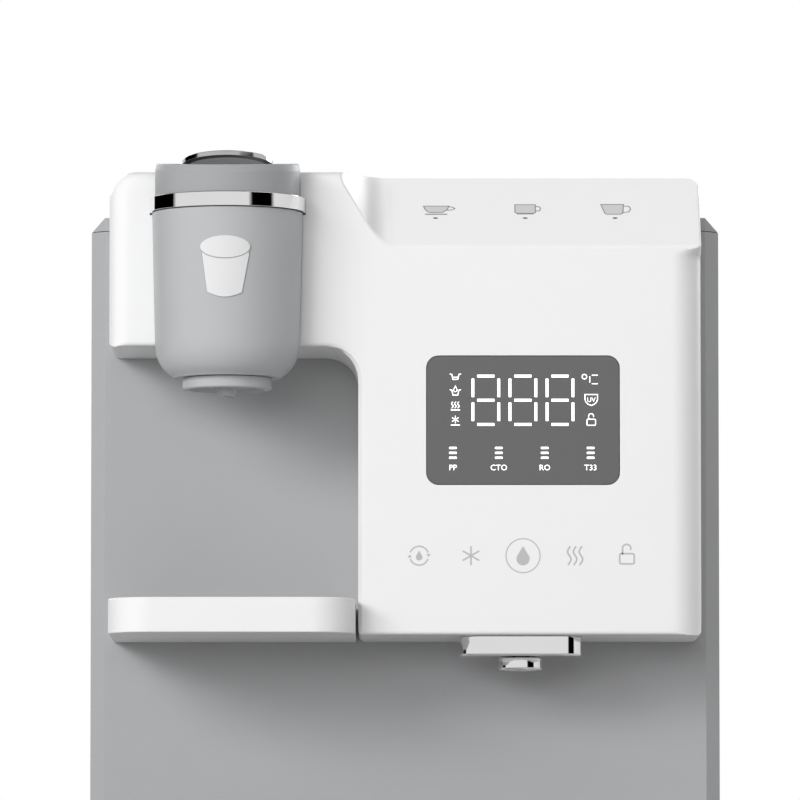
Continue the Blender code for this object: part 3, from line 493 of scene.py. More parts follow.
def thinned(values, gap):
    """The values in order, without those that follow another too closely."""
    ordered = sorted(values)
    kept = [ordered[0]]
    for value in ordered[1:]:
        if value - kept[-1] > gap:
            kept.append(value)
    return kept


def lines(low, high, *groups):
    """Grid lines between two ends: each group is (from, to, step)."""
    values = {round(low, 6), round(high, 6)}
    for start, end, step in groups:
        count = max(1, round((end - start) / step))
        values.update(round(start + (end - start) * k / count, 6) for k in range(count + 1))
    kept = thinned([v for v in values if low <= v <= high], 0.00018)
    kept[-1] = high
    return kept


def edge_lines(edge, radius, sign, steps=8):
    """Grid lines across a quarter-round, close together where it is steep."""
    return [edge + sign * radius * (1 - math.cos(math.pi / 2 * k / steps)) for k in range(steps + 1)]


def merged(*sets):
    return thinned({round(v, 6) for values in sets for v in values}, 0.00015)


CREASE_FROM = FOLD_Z + 0.003
CREASE_X = crease_x(CREASE_FROM)


def head_grid():
    """Grid lines across and up, close together on the edges, the fold and the crease."""
    low, high, top, bottom = HEAD_LOW.x, HEAD_HIGH.x, HEAD_HIGH.z, HEAD_LOW.z
    shared_x = NICHE_X - NICHE_ROUND
    flat_x, near, past = low + LEFT_EDGE, CREASE_X - 0.0015, CREASE_X + 0.0020
    niche_z = ARM_BOTTOM - NICHE_ROUND
    arm_z, flat_z = ARM_BOTTOM + SMALL_EDGE, top - TOP_EDGE
    xs = merged(
        edge_lines(low, LEFT_EDGE, 1),
        lines(flat_x, shared_x, (flat_x, low + 0.02, 0.003), (low + 0.02, shared_x, 0.0055)),
        lines(shared_x, 0.016, (shared_x, near, 0.0028), (near, past, 0.00025), (past, 0.004, 0.0006),
              (0.004, 0.016, 0.0016)),
        lines(0.016, high - RIGHT_EDGE, (0.016, high - RIGHT_EDGE, 0.009)),
        edge_lines(high, RIGHT_EDGE, -1, 10), edge_lines(high, RIGHT_EDGE_ON_SLOPE, -1, 4))
    zs_low = merged(
        edge_lines(bottom, 0.002, 1, 5), lines(bottom + 0.002, niche_z, (bottom + 0.002, niche_z, 0.009)),
        [niche_z + NICHE_ROUND * math.sin(math.pi / 2 * k / 12) for k in range(13)])
    zs_high = merged(
        edge_lines(ARM_BOTTOM, SMALL_EDGE, 1, 5), lines(arm_z, 0.388, (arm_z, 0.388, 0.006)),
        lines(0.388, flat_z, (0.388, 0.4018, 0.0014), (0.4018, CREASE_FROM, 0.0003),
              (CREASE_FROM, 0.412, 0.0006), (0.412, flat_z, 0.0012)),
        edge_lines(top, TOP_EDGE, -1, 8))
    return xs, zs_low, zs_high, shared_x


def make_head_surface():
    """The front as one sheet of quads, its rim carried straight back, and the back closed."""
    low, high, top, bottom = HEAD_LOW.x, HEAD_HIGH.x, HEAD_HIGH.z, HEAD_LOW.z
    xs, zs_low, zs_high, shared_x = head_grid()
    first = min(range(len(xs)), key=lambda k: abs(xs[k] - shared_x))
    xs[first] = shared_x
    bm = bmesh.new()

    def fade(distance, reach):
        return max(0.0, 1 - distance / reach)

    def pull_right(z):
        return (corner_reach(TOP_RIGHT_ROUND, z - (top - TOP_RIGHT_ROUND))
                + corner_reach(OUTLINE_ROUND, bottom + OUTLINE_ROUND - z))

    def vertex(x, z):
        return bm.verts.new((x, HEAD_Y + head_depth(x, z), z))

    def upper_row(z):
        """One grid line across, bent so that it has a vertex on the crease of the slope."""
        left = (corner_reach(TOP_LEFT_ROUND, z - (top - TOP_LEFT_ROUND))
                + corner_reach(OUTLINE_ROUND, ARM_BOTTOM + OUTLINE_ROUND - z))
        lean = crease_x(z) - CREASE_X if z > CREASE_FROM else 0.0
        row = []
        for x in xs:
            share = fade(CREASE_X - x, 0.038) if x < CREASE_X else fade(x - CREASE_X, 0.032)
            row.append(vertex(x + left * fade(x - low, 0.030) + lean * share
                              - pull_right(z) * fade(high - x, 0.030), z))
        return row

    def lower_row(z):
        cz = ARM_BOTTOM - NICHE_ROUND
        edge = NICHE_X if z <= cz else shared_x + math.sqrt(max(NICHE_ROUND ** 2 - (z - cz) ** 2, 0))
        edge += corner_reach(OUTLINE_ROUND, bottom + OUTLINE_ROUND - z)
        return [vertex(x + (edge - shared_x) * fade(x - shared_x, 0.050)
                       - pull_right(z) * fade(high - x, 0.030), z) for x in xs[first:]]

    upper = [upper_row(z) for z in zs_high]
    lower = [lower_row(z) for z in zs_low[:-1]] + [upper[0][first:]]
    for rows in (lower, upper):
        for row, above in zip(rows, rows[1:]):
            for k in range(len(row) - 1):
                bm.faces.new((row[k], row[k + 1], above[k + 1], above[k]))
    rim = [e for e in bm.edges if e.is_boundary]
    ring = bmesh.ops.extrude_edge_only(bm, edges=rim)
    for vert in [v for v in ring["geom"] if isinstance(v, bmesh.types.BMVert)]:
        vert.co.y = HEAD_BACK
    back = [e for e in bm.edges if e.is_boundary]
    bmesh.ops.holes_fill(bm, edges=back, sides=0)
    return bm


def barrel_radius(z):
    """Radius of the brew housing's tapered side at a height."""
    return 0.0362 + 0.0015 * (z - ARM_BOTTOM) / (0.4192 - ARM_BOTTOM)


def make_head():
    head = new_object("head_casing", make_head_surface(), PARTS, WHITE)
    wall = SHELL_WALL
    low, high, top, bottom = HEAD_LOW.x + wall, HEAD_HIGH.x - wall, HEAD_HIGH.z - wall, HEAD_LOW.z + wall
    front, back = HEAD_Y + 0.004, HEAD_BACK + 0.01
    to_world = Matrix.Rotation(math.radians(90), 4, "X")

    def room(name, x0, x1, y0, z0, z1, left_round, right_round):
        plan = filleted([(x0, y0, left_round), (x1, y0, right_round), (x1, back, 0), (x0, back, 0)], 8)
        return helper(name, slab(plan, z0, z1))

    split, middle = FOLD_Z - 0.006, -0.040
    lap = 0.0001
    rooms = [room("panel_room", NICHE_X + wall, high, front, bottom, split, 0.0, 0.0165),
             room("arm_room", low, NICHE_X + 0.01, front, ARM_BOTTOM + wall, split, 0.010, 0.0),
             room("upper_left_room", low + 0.002, middle, HEAD_Y + 0.007, split - lap, top - 0.006,
                  0.012, 0.0),
             room("upper_right_room", middle - lap, high, HEAD_Y + 0.052, split - lap, top - 0.002,
                  0.0, 0.0)]
    window_low, window_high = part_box("display_window")
    gap = 0.0003
    opening = rect(window_low.x - gap, window_low.z - gap, window_high.x + gap, window_high.z + gap,
                   0.0063, 10)
    window_hole = helper("window_opening", slab(opening, -(HEAD_Y + 0.02), -(HEAD_Y - 0.02), to_world))
    play = 0.0004
    narrow, wide = barrel_radius(ARM_BOTTOM) + play, barrel_radius(BARREL_TOP) + play
    well = turned_mesh([(0, 0.340), (narrow, 0.340), (narrow, ARM_BOTTOM), (wide, BARREL_TOP),
                        (RING_R + play, BARREL_TOP), (RING_R + play, 0.4269), (0, 0.4269)],
                       (BREW_X, BREW_Y), 128)
    lid_well = slab(oval(BREW_X, BREW_Y, *LID_WELL, 128), 0.4260, 0.46)
    slot = bmesh.new()
    box_mesh(slot, (BREW_X - 0.0126, BREW_Y + 0.02, top - 0.0045), (BREW_X + 0.0126, -0.1185, top + 0.02))
    port = drilled((0.058, -0.130, HEAD_LOW.z), 0.0065, 0.02)
    cut_now(head, rooms + [window_hole, helper("brew_well", well), helper("lid_well", lid_well),
                           helper("hinge_slot", slot), helper("spout_port", port)])
    dress(head, MACHINE, ["head_shell"], 28)


# ---------------------------------------------------------------- brew head
def make_brew():
    centre = (BREW_X, BREW_Y)
    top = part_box("brew_housing")[1].z
    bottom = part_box("brew_housing")[0].z
    shoulder = top - 0.0004
    outer = [(0.0374, top), (0.0377, shoulder)]
    outer += [(0.0377 - 0.0015 * (k / 8), shoulder - (shoulder - ARM_BOTTOM) * k / 8) for k in range(1, 9)]
    outer += [(0.0358, 0.3495), (0.0352, 0.3470), (0.0343, 0.3447), (0.0331, 0.3426), (0.0317, 0.3407),
              (0.0301, 0.3391), (0.0286, 0.3380), (0.0276, 0.3373), (0.0271, 0.3368), (0.0268, bottom)]
    inner = [(0.006, bottom), (0.006, 0.3400), (0.029, 0.3418), (0.0332, 0.350), (0.0345, top)]
    piece("brew_barrel", turned_mesh(outer + inner, centre, 128, True), HOUSING_GREY,
          cad=["brew_housing"])

    low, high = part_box("brew_ring")
    edge = 0.0002
    band = arc((RING_R - edge, high.z - edge), edge, 90, 0, 4)
    band += arc((RING_R - edge, low.z + edge), edge, 0, -90, 4)
    band += [(0.0345, low.z), (0.0345, high.z)]
    piece("chrome_band", turned_mesh(band, centre, 128, True), CHROME, cad=["brew_ring"])

    collar_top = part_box("brew_nozzle")[1].z
    collar = [(0.0223, collar_top), (0.0223, 0.3320)] + arc((0.0213, 0.3315), 0.0010, 0, -90, 4)
    collar += [(0.0190, 0.3305), (0.0180, 0.3325), (0.0055, 0.3325), (0.0042, 0.3275), (0.0026, 0.3275),
               (0.0035, collar_top)]
    piece("brew_collar", turned_mesh(collar, centre, 96, True), HOUSING_GREY,
          cad=["brew_nozzle"])


def make_lid():
    centre = (BREW_X, BREW_Y)
    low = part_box("brew_lid")[0].z
    lid_r = 0.0363
    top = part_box("brew_lid")[1].z
    lid = [(0, 0.4368), (0.0237, 0.4368), (0.0242, 0.4373), (0.0242, top - 0.0004), (0.0246, top)]
    lid += arc((lid_r - 0.0013, top - 0.0007), 0.0007, 90, 15, 5)
    lid += [(lid_r - 0.0001, top - 0.0031), (lid_r, top - 0.0040)]
    lid += [(lid_r, low + 0.0003), (lid_r - 0.0003, low), (0.0335, low), (0.0335, 0.4336), (0, 0.4343)]
    bm = turned_mesh(lid, centre, 128)
    for vert in bm.verts:
        if vert.co.z > LID_LEAN_FROM:
            vert.co.z -= max(LID_BROW_Y - vert.co.y, 0.0) * math.tan(LID_LEAN)
    cap = new_object("lid_cap", bm, PARTS, LID_GREY)
    ear = bmesh.new()
    box_mesh(ear, (BREW_X - 0.008, BREW_Y + 0.0325, 0.432), (BREW_X + 0.008, -0.1215, 0.4410))
    soften(ear, 0.0012, 3, lambda mid, along: abs(along.x) > 0.9 and mid.y > -0.125)
    lid_ear = helper("lid_ear", ear)
    modify(cap, "BOOLEAN", operation="UNION", object=lid_ear)
    bore = drilled((BREW_X, -0.125, 0.437), 0.0018, 0.03, 24, Matrix.Rotation(math.pi / 2, 4, "Y"))
    cut_now(cap, [helper("ear_bore", bore)])
    bpy.data.objects.remove(lid_ear, do_unlink=True)
    dress(cap, "brew_lid", ["brew_lid"], 30)

    tilt = (Matrix.Translation(LEVER_HINGE) @ Matrix.Rotation(-LEVER_TILT, 4, "X")
            @ Matrix.Translation(-LEVER_HINGE))
    level = LEVER_HINGE.z
    lens = [(0, level + 0.0014), (0.0120, level + 0.0015), (0.0185, level + 0.0016),
            (0.0192, level + 0.0014), (0.0195, level + 0.0010), (0.0195, level - 0.0010),
            (0.0188, level - 0.0013), (0.0150, level - 0.0013), (0, level - 0.0011)]
    disc = turned_mesh(lens, centre)
    disc.transform(tilt)
    piece("lever_lens", disc, LENS, "lid_lever", ["lid_lever"])
    outer, edge = 0.0227, 0.00025
    rim = [(0.0198, level + 0.0013), (0.0202, level + 0.0017)]
    rim += arc((outer - edge, level + 0.0017 - edge), edge, 90, 0, 4)
    rim += arc((outer - edge, level - 0.0008 + edge), edge, 0, -80, 4)
    rim += [(0.0212, level - 0.0013), (0.0203, level - 0.0015), (0.0198, level - 0.0013)]
    band = turned_mesh(rim, centre, ring=True)
    band.transform(tilt)
    piece("lever_band", band, DIM_CHROME, "lid_lever", ["lever_rim"])


# ---------------------------------------------------------------- printed and lit marks
class Marks:
    """Flat marks that become one piece: drawn in millimetres on a face and raised a hair from it."""

    def __init__(self, face, lift, sink):
        self.bm = bmesh.new()
        self.place = face @ Matrix.Scale(MM, 4)
        self.low, self.high = -sink, lift

    def finish(self, name, material):
        piece(name, self.bm, material, angle=30)

    def fill(self, outline, lift=0.0):
        prism(self.bm, outline, self.low, self.high + lift, self.place)

    def stroke(self, points, width, closed=False, round_ends=True, lift=0.0):
        """A ribbon of even width along a path, with mitred joints."""
        path = [Vector(p) for p in points]
        count = len(path)
        half = width / 2
        rails = []
        for i, here in enumerate(path):
            before = path[i - 1] if closed or i > 0 else None
            after = path[(i + 1) % count] if closed or i < count - 1 else None
            inward = (here - before).normalized() if before else (after - here).normalized()
            outward = (after - here).normalized() if after else inward
            across = inward + outward
            across = Vector((-across.y, across.x)).normalized()
            normal = Vector((-inward.y, inward.x))
            reach = half / max(across.dot(normal), 0.5)
            rails.append((here - across * reach, here + across * reach))
        if round_ends and not closed:
            for end, near_end in ((0, 1), (count - 1, count - 2)):
                out = (path[end] - path[near_end]).normalized() * half
                side = Vector((-out.y, out.x))
                fan = [path[end] + side * math.cos(math.pi * k / 6) + out * math.sin(math.pi * k / 6)
                       for k in range(7)]
                self.fill([tuple(p) for p in fan], lift)
        rows = [[self.bm.verts.new(self.place @ Vector((*rail, height)))
                 for height in (self.low, self.high + lift) for rail in pair] for pair in rails]
        pairs = list(zip(rows, rows[1:]))
        if closed:
            pairs.append((rows[-1], rows[0]))
        for a, b in pairs:
            for i, j in ((0, 1), (1, 3), (3, 2), (2, 0)):
                self.bm.faces.new((a[i], a[j], b[j], b[i]))
        if not closed:
            for row in (rows[0], rows[-1]):
                self.bm.faces.new((row[0], row[1], row[3], row[2]))

    def word(self, text, x, y, height):
        """A word in the built-in typeface, centred on x, standing on y, with capitals that tall."""
        curve = bpy.data.curves.new("word", "FONT")
        curve.body = text
        curve.align_x = "CENTER"
        curve.offset = 0.004
        curve.resolution_u = 3
        word = bpy.data.objects.new("word", curve)
        HELPERS.objects.link(word)
        flat = bmesh.new()
        flat.from_mesh(applied(word))
        bmesh.ops.remove_doubles(flat, verts=flat.verts, dist=0.0005)
        capitals = 0.69
        scale = height / capitals
        fronts = list(flat.faces)
        made = {}

        def lifted(vert, level):
            key = (vert.index, level)
            if key not in made:
                spot = Vector((x + vert.co.x * scale, y + vert.co.y * scale, level))
                made[key] = self.bm.verts.new(self.place @ spot)
            return made[key]

        low, high = self.low, self.high
        flat.verts.index_update()
        for face in fronts:
            self.bm.faces.new([lifted(v, high) for v in face.verts])
            self.bm.faces.new([lifted(v, low) for v in reversed(face.verts)])
        for edge in flat.edges:
            if edge.is_boundary:
                a, b = edge.verts
                self.bm.faces.new((lifted(a, low), lifted(b, low), lifted(b, high), lifted(a, high)))
        flat.free()
        bpy.data.objects.remove(word, do_unlink=True)

    def padlock(self, x, y, width, line):
        """An open padlock whose body is that wide, its body's lower edge centred on (x, y)."""
        body_high = 0.71 * width
        self.stroke(rect(x - width / 2, y, x + width / 2, y + body_high, 0.12 * width, 4), line, True)
        bow = 0.29 * width
        centre = (x - 0.02 * width, y + body_high + 0.36 * width)
        self.stroke([(centre[0] - bow, y + body_high)] + arc(centre, bow, 180, -12, 14), line)

    def star(self, x, y, reach, width):
        """Three crossing lines with round ends, one of them upright, as one outline."""
        centre = Vector((x, y))
        half = width / 2
        outline = []
        for k in range(6):
            turn = math.radians(90 + 60 * k)
            tip = centre + Vector((math.cos(turn), math.sin(turn))) * (reach - half)
            outline += arc(tip, half, math.degrees(turn) - 90, math.degrees(turn) + 90, 6)
            between = turn + math.radians(30)
            outline.append(tuple(centre + Vector((math.cos(between), math.sin(between))) * width))
        self.fill(outline)


def drop_points(x, y, width, height, steps=28):
    """A water drop with its point up, its box centred on (x, y)."""
    radius = width / 2
    centre_y = y - height / 2 + radius
    tip = y + height / 2 - centre_y
    open_at = math.degrees(math.asin(radius / tip))
    lower = arc((x, centre_y), radius, open_at, -180 - open_at, steps)
    return [(x, centre_y + tip)] + lower


def wave_points(x, y, height, swing, steps=14):
    """A rising heat wave: one and a bit S-bends from the top down."""
    return [(x - swing * math.cos(math.tau * (k / steps - 0.27) / 0.86), y + height * (0.5 - k / steps))
            for k in range(steps + 1)]


def make_window():
    low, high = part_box("display_window")
    outline = rect(low.x, low.z, high.x, high.z, 0.006, 12)
    pane = slab(outline, -(high.y - HEAD_Y), -(low.y - HEAD_Y), FRONT_FACE)
    soften(pane, 0.0003, 2, lambda mid, along: abs(along.y) < 0.1 and mid.y < low.y + 0.0005)
    piece("window_pane", pane, WINDOW, cad=["display_window"])
    face = FRONT_FACE @ Matrix.Translation((low.x, low.z, 0))
    make_digits(face)
    make_display_legends(face)


def make_digits(face):
    """Three seven-segment figures with every segment lit."""
    sheet = Marks(face, 0.05, 0.2)
    first, pitch, width = 22.4, 18.55, 14.35
    thick, bar, post = 1.40, 8.6, 9.3
    for k in range(3):
        x = first + pitch * k
        for base in (29.35, 41.5, 53.6):
            sheet.fill(rect(x + 2.87, base, x + 2.87 + bar, base + thick, 0.15, 2))
        for side in (x, x + width - thick):
            for base in (31.75, 43.75):
                sheet.fill(rect(side, base, side + thick, base + post, 0.15, 2))
    sheet.finish("display_digits", LIGHT)


def make_display_legends(face):
    """Cup, heat and cold signs on the left, signs on the right, and a filter gauge row below."""
    sheet = Marks(face, 0.05, 0.2)
    line = 0.47
    left, right = 14.35, 82.3
    basin = [(-2.65, 2.95), (-1.75, 2.75), (-1.2, 0.25), (1.2, 0.25), (1.75, 2.75), (2.65, 2.95)]
    for y, with_drop in ((52.4, False), (44.5, True)):
        sheet.stroke([(left + u, y + v) for u, v in basin], line)
        if with_drop:
            sheet.stroke(drop_points(left, y + 3.4, 1.75, 2.9, 16), line * 0.8, True)
        else:
            sheet.stroke([(left - 1.15, y + 1.35), (left + 1.15, y + 1.35)], line * 0.8)
    for u in (-1.5, 0, 1.5):
        sheet.stroke(wave_points(left + u, 39.8, 3.0, 0.42), line * 0.9)
    sheet.star(left, 32.5, 1.95, line * 0.9)
    for y in (37.3, 29.75):
        sheet.stroke([(left - 2.15, y), (left + 2.15, y)], line)

    sheet.stroke(oval(78.9, 54.0, 1.15, 1.15, 24), line, True)
    sheet.stroke([(81.6, 54.0), (81.6, 51.2)], line)
    for y in (54.75, 50.45):
        sheet.stroke([(82.75, y), (85.4, y)], line)
    shield = [(-3.15, 2.75), (3.15, 2.75), (3.15, 0.4), (2.75, -0.9), (1.6, -2.1), (0, -2.75), (-1.6, -2.1),
              (-2.75, -0.9), (-3.15, 0.4)]
    sheet.stroke([(right + u, 42.3 + v) for u, v in shield], line, True)
    sheet.word("UV", right, 41.35, 2.25)
    sheet.padlock(right, 29.6, 4.3, line)
    for k, name in enumerate(("PP", "CTO", "RO", "T33")):
        x = 13.1 + 22.95 * k
        for y in (13.35, 15.8, 18.25):
            sheet.fill(rect(x - 1.95, y - 0.55, x + 1.95, y + 0.55, 0.45, 4))
        sheet.word(name, x, 7.1, 2.75)
    sheet.finish("display_legends", LIGHT)


def make_touch_marks():
    """Grey printed legends of the touch keys, on the front below the window."""
    sheet = Marks(FRONT_FACE, 0.04, 0.2)
    line = 0.86
    x, y = 7.0, 248.0
    for start in (20, 200):
        sheet.stroke(arc((x, y), 4.7, start, start + 140, 20), 0.76, round_ends=False)
    for side in (-1, 1):
        tip = (x + side * 4.7, y - side * 0.75)
        tail = tip[1] + side * 1.7
        sheet.fill([(tip[0] - 1.05, tail), (tip[0] + 1.05, tail), tip][::side])
    sheet.fill(drop_points(x, y + 0.1, 3.3, 5.0))
    sheet.star(32.9, y, 4.9, line)
    sheet.fill(drop_points(58.9, y, 6.6, 9.7))
    sheet.stroke(oval(58.9, y, 8.5, 8.5, 64), 0.60, True)
    for u in (-2.9, 0, 2.9):
        sheet.stroke(wave_points(84.9 + u, y, 8.9, 0.85, 18), line)
    sheet.padlock(110.8, y - 4.1, 7.2, line)
    sheet.finish("touch_legends", INK)


def make_slope_marks():
    """Cup sizes and status dots on the slope, up-slope from the fold."""
    fills, outlines, dots = (Marks(SLOPE_FACE, 0.05, 0.4) for _ in range(3))
    line = 0.55

    def cup(outline, handle):
        fills.fill(outline)
        outlines.stroke(outline, line, True, lift=0.02)
        outlines.stroke(handle, line, lift=0.02)

    cup([(9.3, 30.5), (22.0, 30.5), (21.4, 28.4), (19.6, 26.2), (18.2, 25.7), (12.9, 25.7), (11.4, 26.2),
         (9.9, 28.4)],
        [(22.0, 30.0), (23.8, 29.8), (25.1, 28.8), (23.9, 27.7), (21.2, 27.4)])
    outlines.stroke([(10.4, 24.4), (20.9, 24.4)], line * 1.5)
    cup([(55.3, 31.6), (65.6, 31.6), (65.6, 25.8), (64.7, 25.1), (56.2, 25.1), (55.3, 25.8)],
        [(65.6, 30.2), (67.6, 30.0), (68.2, 28.5), (67.6, 27.0), (65.6, 26.8)])
    outlines.stroke([(56.6, 24.7), (64.4, 24.7)], line * 1.5)
    cup([(98.6, 31.8), (110.0, 31.8), (109.5, 25.2), (108.4, 24.4), (101.6, 24.4), (100.5, 25.2)],
        [(110.0, 30.5), (112.7, 30.4), (113.5, 28.3), (112.6, 26.1), (109.7, 25.8)])
    for x in (15.3, 60.4, 105.6):
        dots.fill(oval(x, 21.5, 1.25, 0.56, 16), 0.03)
    fills.finish("cup_fills", PALE_INK)
    outlines.finish("cup_lines", LINE_INK)
    dots.finish("status_dots", DARK_INK)


def make_badge():
    """The plain cup badge on the brew housing: a raised mark that follows the barrel."""
    rim_u, rim_z, rim_w, rim_h = -0.00045, 0.3991, 0.0124, 0.0055
    rim = oval(rim_u, rim_z, rim_w, rim_h, 48)
    left, right = Vector((-0.0094, 0.3767)), Vector((0.0079, 0.3763))
    body = [(-0.01195, 0.3961), tuple(left)]
    body += [tuple(left.lerp(right, k / 12) - Vector((0, 0.0024 * math.sin(math.pi * k / 12))))
             for k in range(1, 12)]
    body += [tuple(right), (0.01145, 0.3952)]
    under = 0.00045
    body += [(rim_u + rim_w * math.cos(turn), rim_z - under + rim_h * math.sin(turn))
             for turn in (math.radians(-20 - 140 * k / 14) for k in range(15))]

    sink = 0.0002

    def wrapped(name, outline, lift, material):
        bm = slab(outline, 0.0, 1.0)
        for k in range(-13, 14):
            geom = bm.verts[:] + bm.edges[:] + bm.faces[:]
            bmesh.ops.bisect_plane(bm, geom=geom, plane_co=(k * MM, 0, 0), plane_no=(1, 0, 0))
        for vert in bm.verts:
            u, z, w = vert.co
            radius = barrel_radius(z) - sink + (lift + sink) * w
            vert.co = (BREW_X + u, BREW_Y - math.sqrt(radius * radius - u * u), z)
        piece(name, bm, material, angle=40)

    middle = Vector((-0.0006, 0.3855))
    edge = [tuple(middle + (Vector(p) - middle) * 1.028) for p in body]
    wrapped("badge_cup", body, 0.0005, BADGE)
    wrapped("badge_rim", rim, 0.0006, BADGE)
    wrapped("badge_edge", edge, 0.0002, BADGE_LINE)
    rim_edge = oval(rim_u, rim_z - 0.0004, rim_w * 1.012, rim_h * 1.02, 48)
    wrapped("badge_rim_edge", rim_edge, 0.00052, BADGE_LINE)


# ---------------------------------------------------------------- spout and shelf
def make_spout():
    low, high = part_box("spout_block")
    block = slab(rect(low.x, low.y, high.x, high.y, 0.010, 12), low.z, high.z)
    soften(block, 0.0012, 4, lambda mid, along: mid.z < low.z + 0.0001 and abs(along.z) < 0.1)
    body = new_object("spout_body", block, PARTS, CHROME)
    centre = ((low.x + high.x) / 2, (low.y + high.y) / 2)
    cut_now(body, [helper("spout_bore", drilled((*centre, low.z), SPOUT_BORE, 0.03))])
    dress(body, MACHINE, ["spout_block"])

    low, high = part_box("spout_nozzle")
    sleeve = [(0.0098, high.z), (0.0108, high.z - 0.0002), (0.0112, 0.1972)]
    sleeve += arc((0.0100, low.z + 0.0012), 0.0012, 0, -90, 6)
    sleeve += [(0.0093, low.z), (0.0093, 0.1958), (SPOUT_BORE, 0.1965), (SPOUT_BORE, high.z)]
    piece("spout_sleeve", turned_mesh(sleeve, centre, 96, True), CHROME, cad=["spout_nozzle"])


def make_shelf():
    low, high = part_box("cup_shelf")
    corner = 0.022
    back = high.y

    def plan(inset, rear, rear_round):
        left, right, front, bend = low.x + inset, high.x - inset, low.y + inset, corner - inset
        return filleted([(left, front, bend), (right, front, bend), (right, rear, rear_round),
                         (left, rear, rear_round)], 14)

    shelf = slab(plan(0, back, 0), low.z, high.z)
    soften(shelf, 0.0007, 3, lambda mid, along: abs(along.z) < 0.1 and mid.y < back - 0.001)
    casing = new_object("shelf_casing", shelf, PARTS, SHELF_WHITE)
    sockets = bmesh.new()
    for x in SHELF_PRONGS:
        box_mesh(sockets, (x - 0.0062, -0.1285, 0.2125), (x + 0.0062, -0.07, 0.2195))
    cut_now(casing, [
        helper("recess", slab(plan(0.004, back - 0.006, 0.004), high.z - 0.003, high.z + 0.01)),
        helper("basin", slab(plan(0.009, -0.131, 0.004), low.z + SHELL_WALL, high.z + 0.01)),
        helper("sockets", sockets)])
    dress(casing, "cup_shelf", ["cup_shelf"])


# ---------------------------------------------------------------- CAD pieces that keep their shape
def finished(node, material, width=0.0004, segments=2, angle=32):
    """A CAD piece as it is, with a finish, smooth round faces and a small radius on its edges."""
    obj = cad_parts[node]
    mesh = obj.data
    mesh.materials.clear()
    mesh.materials.append(material)
    if "custom_normal" in mesh.attributes:
        mesh.attributes.remove(mesh.attributes["custom_normal"])
    mesh.shade_smooth()
    modify(obj, "WELD", merge_threshold=0.00001)
    if width:
        modify(obj, "BEVEL", width=width, segments=segments, limit_method="ANGLE",
               angle_limit=math.radians(angle), use_clamp_overlap=True, miter_outer="MITER_ARC")
    modify(obj, "WEIGHTED_NORMAL", weight=60, keep_sharp=True)


FINISHES = (
    (GREY, 0.0005, "base_pan rear_panel tank_seat"),
    (GREY, 0.00012, "body_shell top_frame"),
    (WHITE, 0.0005, "top_cover filter_cover tank_lid"),
    (SHELF_WHITE, 0.0005, "drip_tray"),
    (INNER_WHITE, 0.0003, "valve_socket nozzle_insert tank_valve solenoid_valve"),
    (INNER_WHITE, 0.0004, "filter_pp filter_cto filter_ro filter_t33"),
    (LID_GREY, 0.0003, "lid_hinge_block"),
    (TANK, 0.0004, "water_tank"),
    (STEEL, 0.0002, "drip_grille shelf_grille shelf_bracket power_supply hot_tank uv_chamber "
                    "filter_cover_pin lid_hinge_pin"),
    (ALUMINIUM, 0.0002, "heat_sink"),
    (FOAM, 0.0008, "cold_tank"),
    (SILICONE, 0.0, "brew_pipe spout_pipe"),
    (BOARD, 0.0001, "display_board touch_board main_board"),
    (RUBBER, 0.0004, "foot_front_left foot_front_right foot_rear_left foot_rear_right"),
    (BLACK, 0.0003, "power_inlet power_switch drain_cap capsule_holder pierce_plate filter_manifold "
                    "booster_pump brew_pump fan_frame fan_rotor"),
)


# ---------------------------------------------------------------- build
make_head()
make_brew()
make_lid()
make_window()
make_touch_marks()
make_slope_marks()
make_badge()
make_spout()
make_shelf()
for finish_material, finish_width, names in FINISHES:
    for node_name in names.split():
        finished(node_name, finish_material, finish_width)
bpy.data.collections.remove(HELPERS)


# ---------------------------------------------------------------- floor, camera and light
def staged(name, data):
    obj = bpy.data.objects.new(name, data)
    bpy.context.scene.collection.objects.link(obj)
    return obj


def make_floor():
    look = Finish("floor")
    grain = look.noise(30.0, 3.0)
    bm = bmesh.new()
    bmesh.ops.create_grid(bm, x_segments=4, y_segments=4, size=4.0)
    mesh = bpy.data.meshes.new("floor")
    bm.to_mesh(mesh)
    bm.free()
    mesh.materials.append(look.done(Base_Color=look.tinted(grain, (FLOOR_GREY,) * 3, 0.01), Roughness=0.6))
    floor = staged("floor", mesh)


def aim(obj, place, target):
    obj.location = place
    obj.rotation_euler = (Vector(target) - Vector(place)).to_track_quat("-Z", "Y").to_euler()


def make_camera():
    data = bpy.data.cameras.new("camera")
    camera = staged("camera", data)
    aim(camera, CAMERA_AT, CAMERA_TARGET)
    data.lens = CAMERA_LENS
    data.sensor_width = 36.0
    data.clip_start = 0.1
    data.clip_end = 100.0
    bpy.context.scene.camera = camera


def make_light(name, azimuth, elevation, distance, width, height, watts, mirrored):
    data = bpy.data.lights.new(name, "AREA")
    data.shape = "RECTANGLE"
    data.size, data.size_y = width, height
    data.energy = watts
    light = staged(name, data)
    around, up = math.radians(azimuth), math.radians(elevation)
    level = distance * math.cos(up)
    stand = Vector((level * math.sin(around), -level * math.cos(around), distance * math.sin(up)))
    aim(light, stand + LIGHT_TARGET, LIGHT_TARGET)
    light.visible_glossy = mirrored


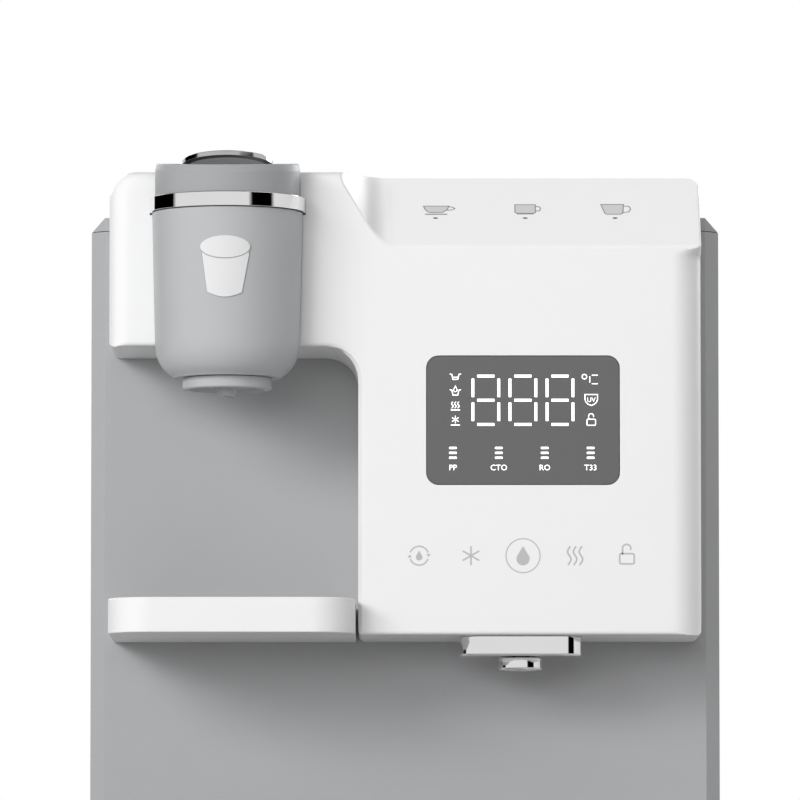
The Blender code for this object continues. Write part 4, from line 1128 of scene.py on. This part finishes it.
def make_world():
    """White all round, with the dark flags beside the camera that give chrome its black stripes."""
    world = bpy.data.worlds.new("studio")
    world.use_nodes = True
    bpy.context.scene.world = world
    nodes, links = world.node_tree.nodes, world.node_tree.links
    nodes.clear()

    def math_node(operation, a, b=None, clamp=False):
        node = nodes.new("ShaderNodeMath")
        node.operation = operation
        node.use_clamp = clamp
        for socket, value in zip(node.inputs, (a, b)):
            if value is None:
                continue
            if isinstance(value, (int, float)):
                socket.default_value = value
            else:
                links.new(value, socket)
        return node.outputs["Value"]

    def rise(value, start, steepness):
        """From 0 to 1 as the value goes past the start."""
        return math_node("MULTIPLY", math_node("SUBTRACT", value, start), steepness, True)

    coordinates = nodes.new("ShaderNodeTexCoord")
    axes = nodes.new("ShaderNodeSeparateXYZ")
    links.new(coordinates.outputs["Generated"], axes.inputs["Vector"])
    azimuth = math_node("ARCTAN2", axes.outputs["X"], math_node("MULTIPLY", axes.outputs["Y"], -1.0))
    turn = math_node("ADD", math_node("DIVIDE", azimuth, math.tau), 0.5)
    ramp = nodes.new("ShaderNodeValToRGB")
    links.new(turn, ramp.inputs["Fac"])
    stops = [(-180, 0.75)]
    for start, end in DARK_FLAGS:
        stops += [(start - 3, 1.0), (start + 3, 0.0), (end - 3, 0.0), (end + 3, 1.0)]
    stops.append((180, 0.75))
    elements = ramp.color_ramp.elements
    while len(elements) < len(stops):
        elements.new(0.5)
    for element, (degrees, value) in zip(elements, stops):
        element.position = degrees / 360 + 0.5
        element.color = (value, value, value, 1)
    level = math_node("ABSOLUTE", axes.outputs["Z"])
    brightness = math_node("MAXIMUM", ramp.outputs["Color"], rise(level, FLAG_HEIGHT, 8.0))
    offset = math_node("ABSOLUTE", math_node("SUBTRACT", axes.outputs["Z"], HORIZON_MIDDLE))
    painted_glow = math_node("MULTIPLY", rise(HORIZON_HEIGHT, offset, 20.0), HORIZON_GLOW)
    ahead = math_node("MULTIPLY", brightness, math_node("ADD", painted_glow, FILL_LIGHT))
    behind = rise(axes.outputs["Y"], REAR_FROM, 6.0)
    above = math_node("MULTIPLY", axes.outputs["Z"], 20.0, True)
    below = rise(REAR_HEIGHT, axes.outputs["Z"], 5.0)
    wall = math_node("MULTIPLY", math_node("MULTIPLY", behind, above),
                     math_node("MULTIPLY", below, REAR_GLOW))
    amount = math_node("MAXIMUM", ahead, wall)

    around = nodes.new("ShaderNodeBackground")
    links.new(amount, around.inputs["Strength"])
    backdrop = nodes.new("ShaderNodeBackground")
    backdrop.inputs["Strength"].default_value = 1.0
    backdrop.inputs["Color"].default_value = (1, 1, 1, 1)
    around.inputs["Color"].default_value = (1, 1, 1, 1)
    path = nodes.new("ShaderNodeLightPath")
    mix = nodes.new("ShaderNodeMixShader")
    output = nodes.new("ShaderNodeOutputWorld")
    links.new(path.outputs["Is Camera Ray"], mix.inputs["Fac"])
    links.new(around.outputs["Background"], mix.inputs[1])
    links.new(backdrop.outputs["Background"], mix.inputs[2])
    links.new(mix.outputs["Shader"], output.inputs["Surface"])


make_floor()
make_camera()
make_world()
for light in LIGHTS:
    make_light(*light)
scene = bpy.context.scene
scene.view_settings.view_transform = "Standard"
scene.view_settings.look = "None"
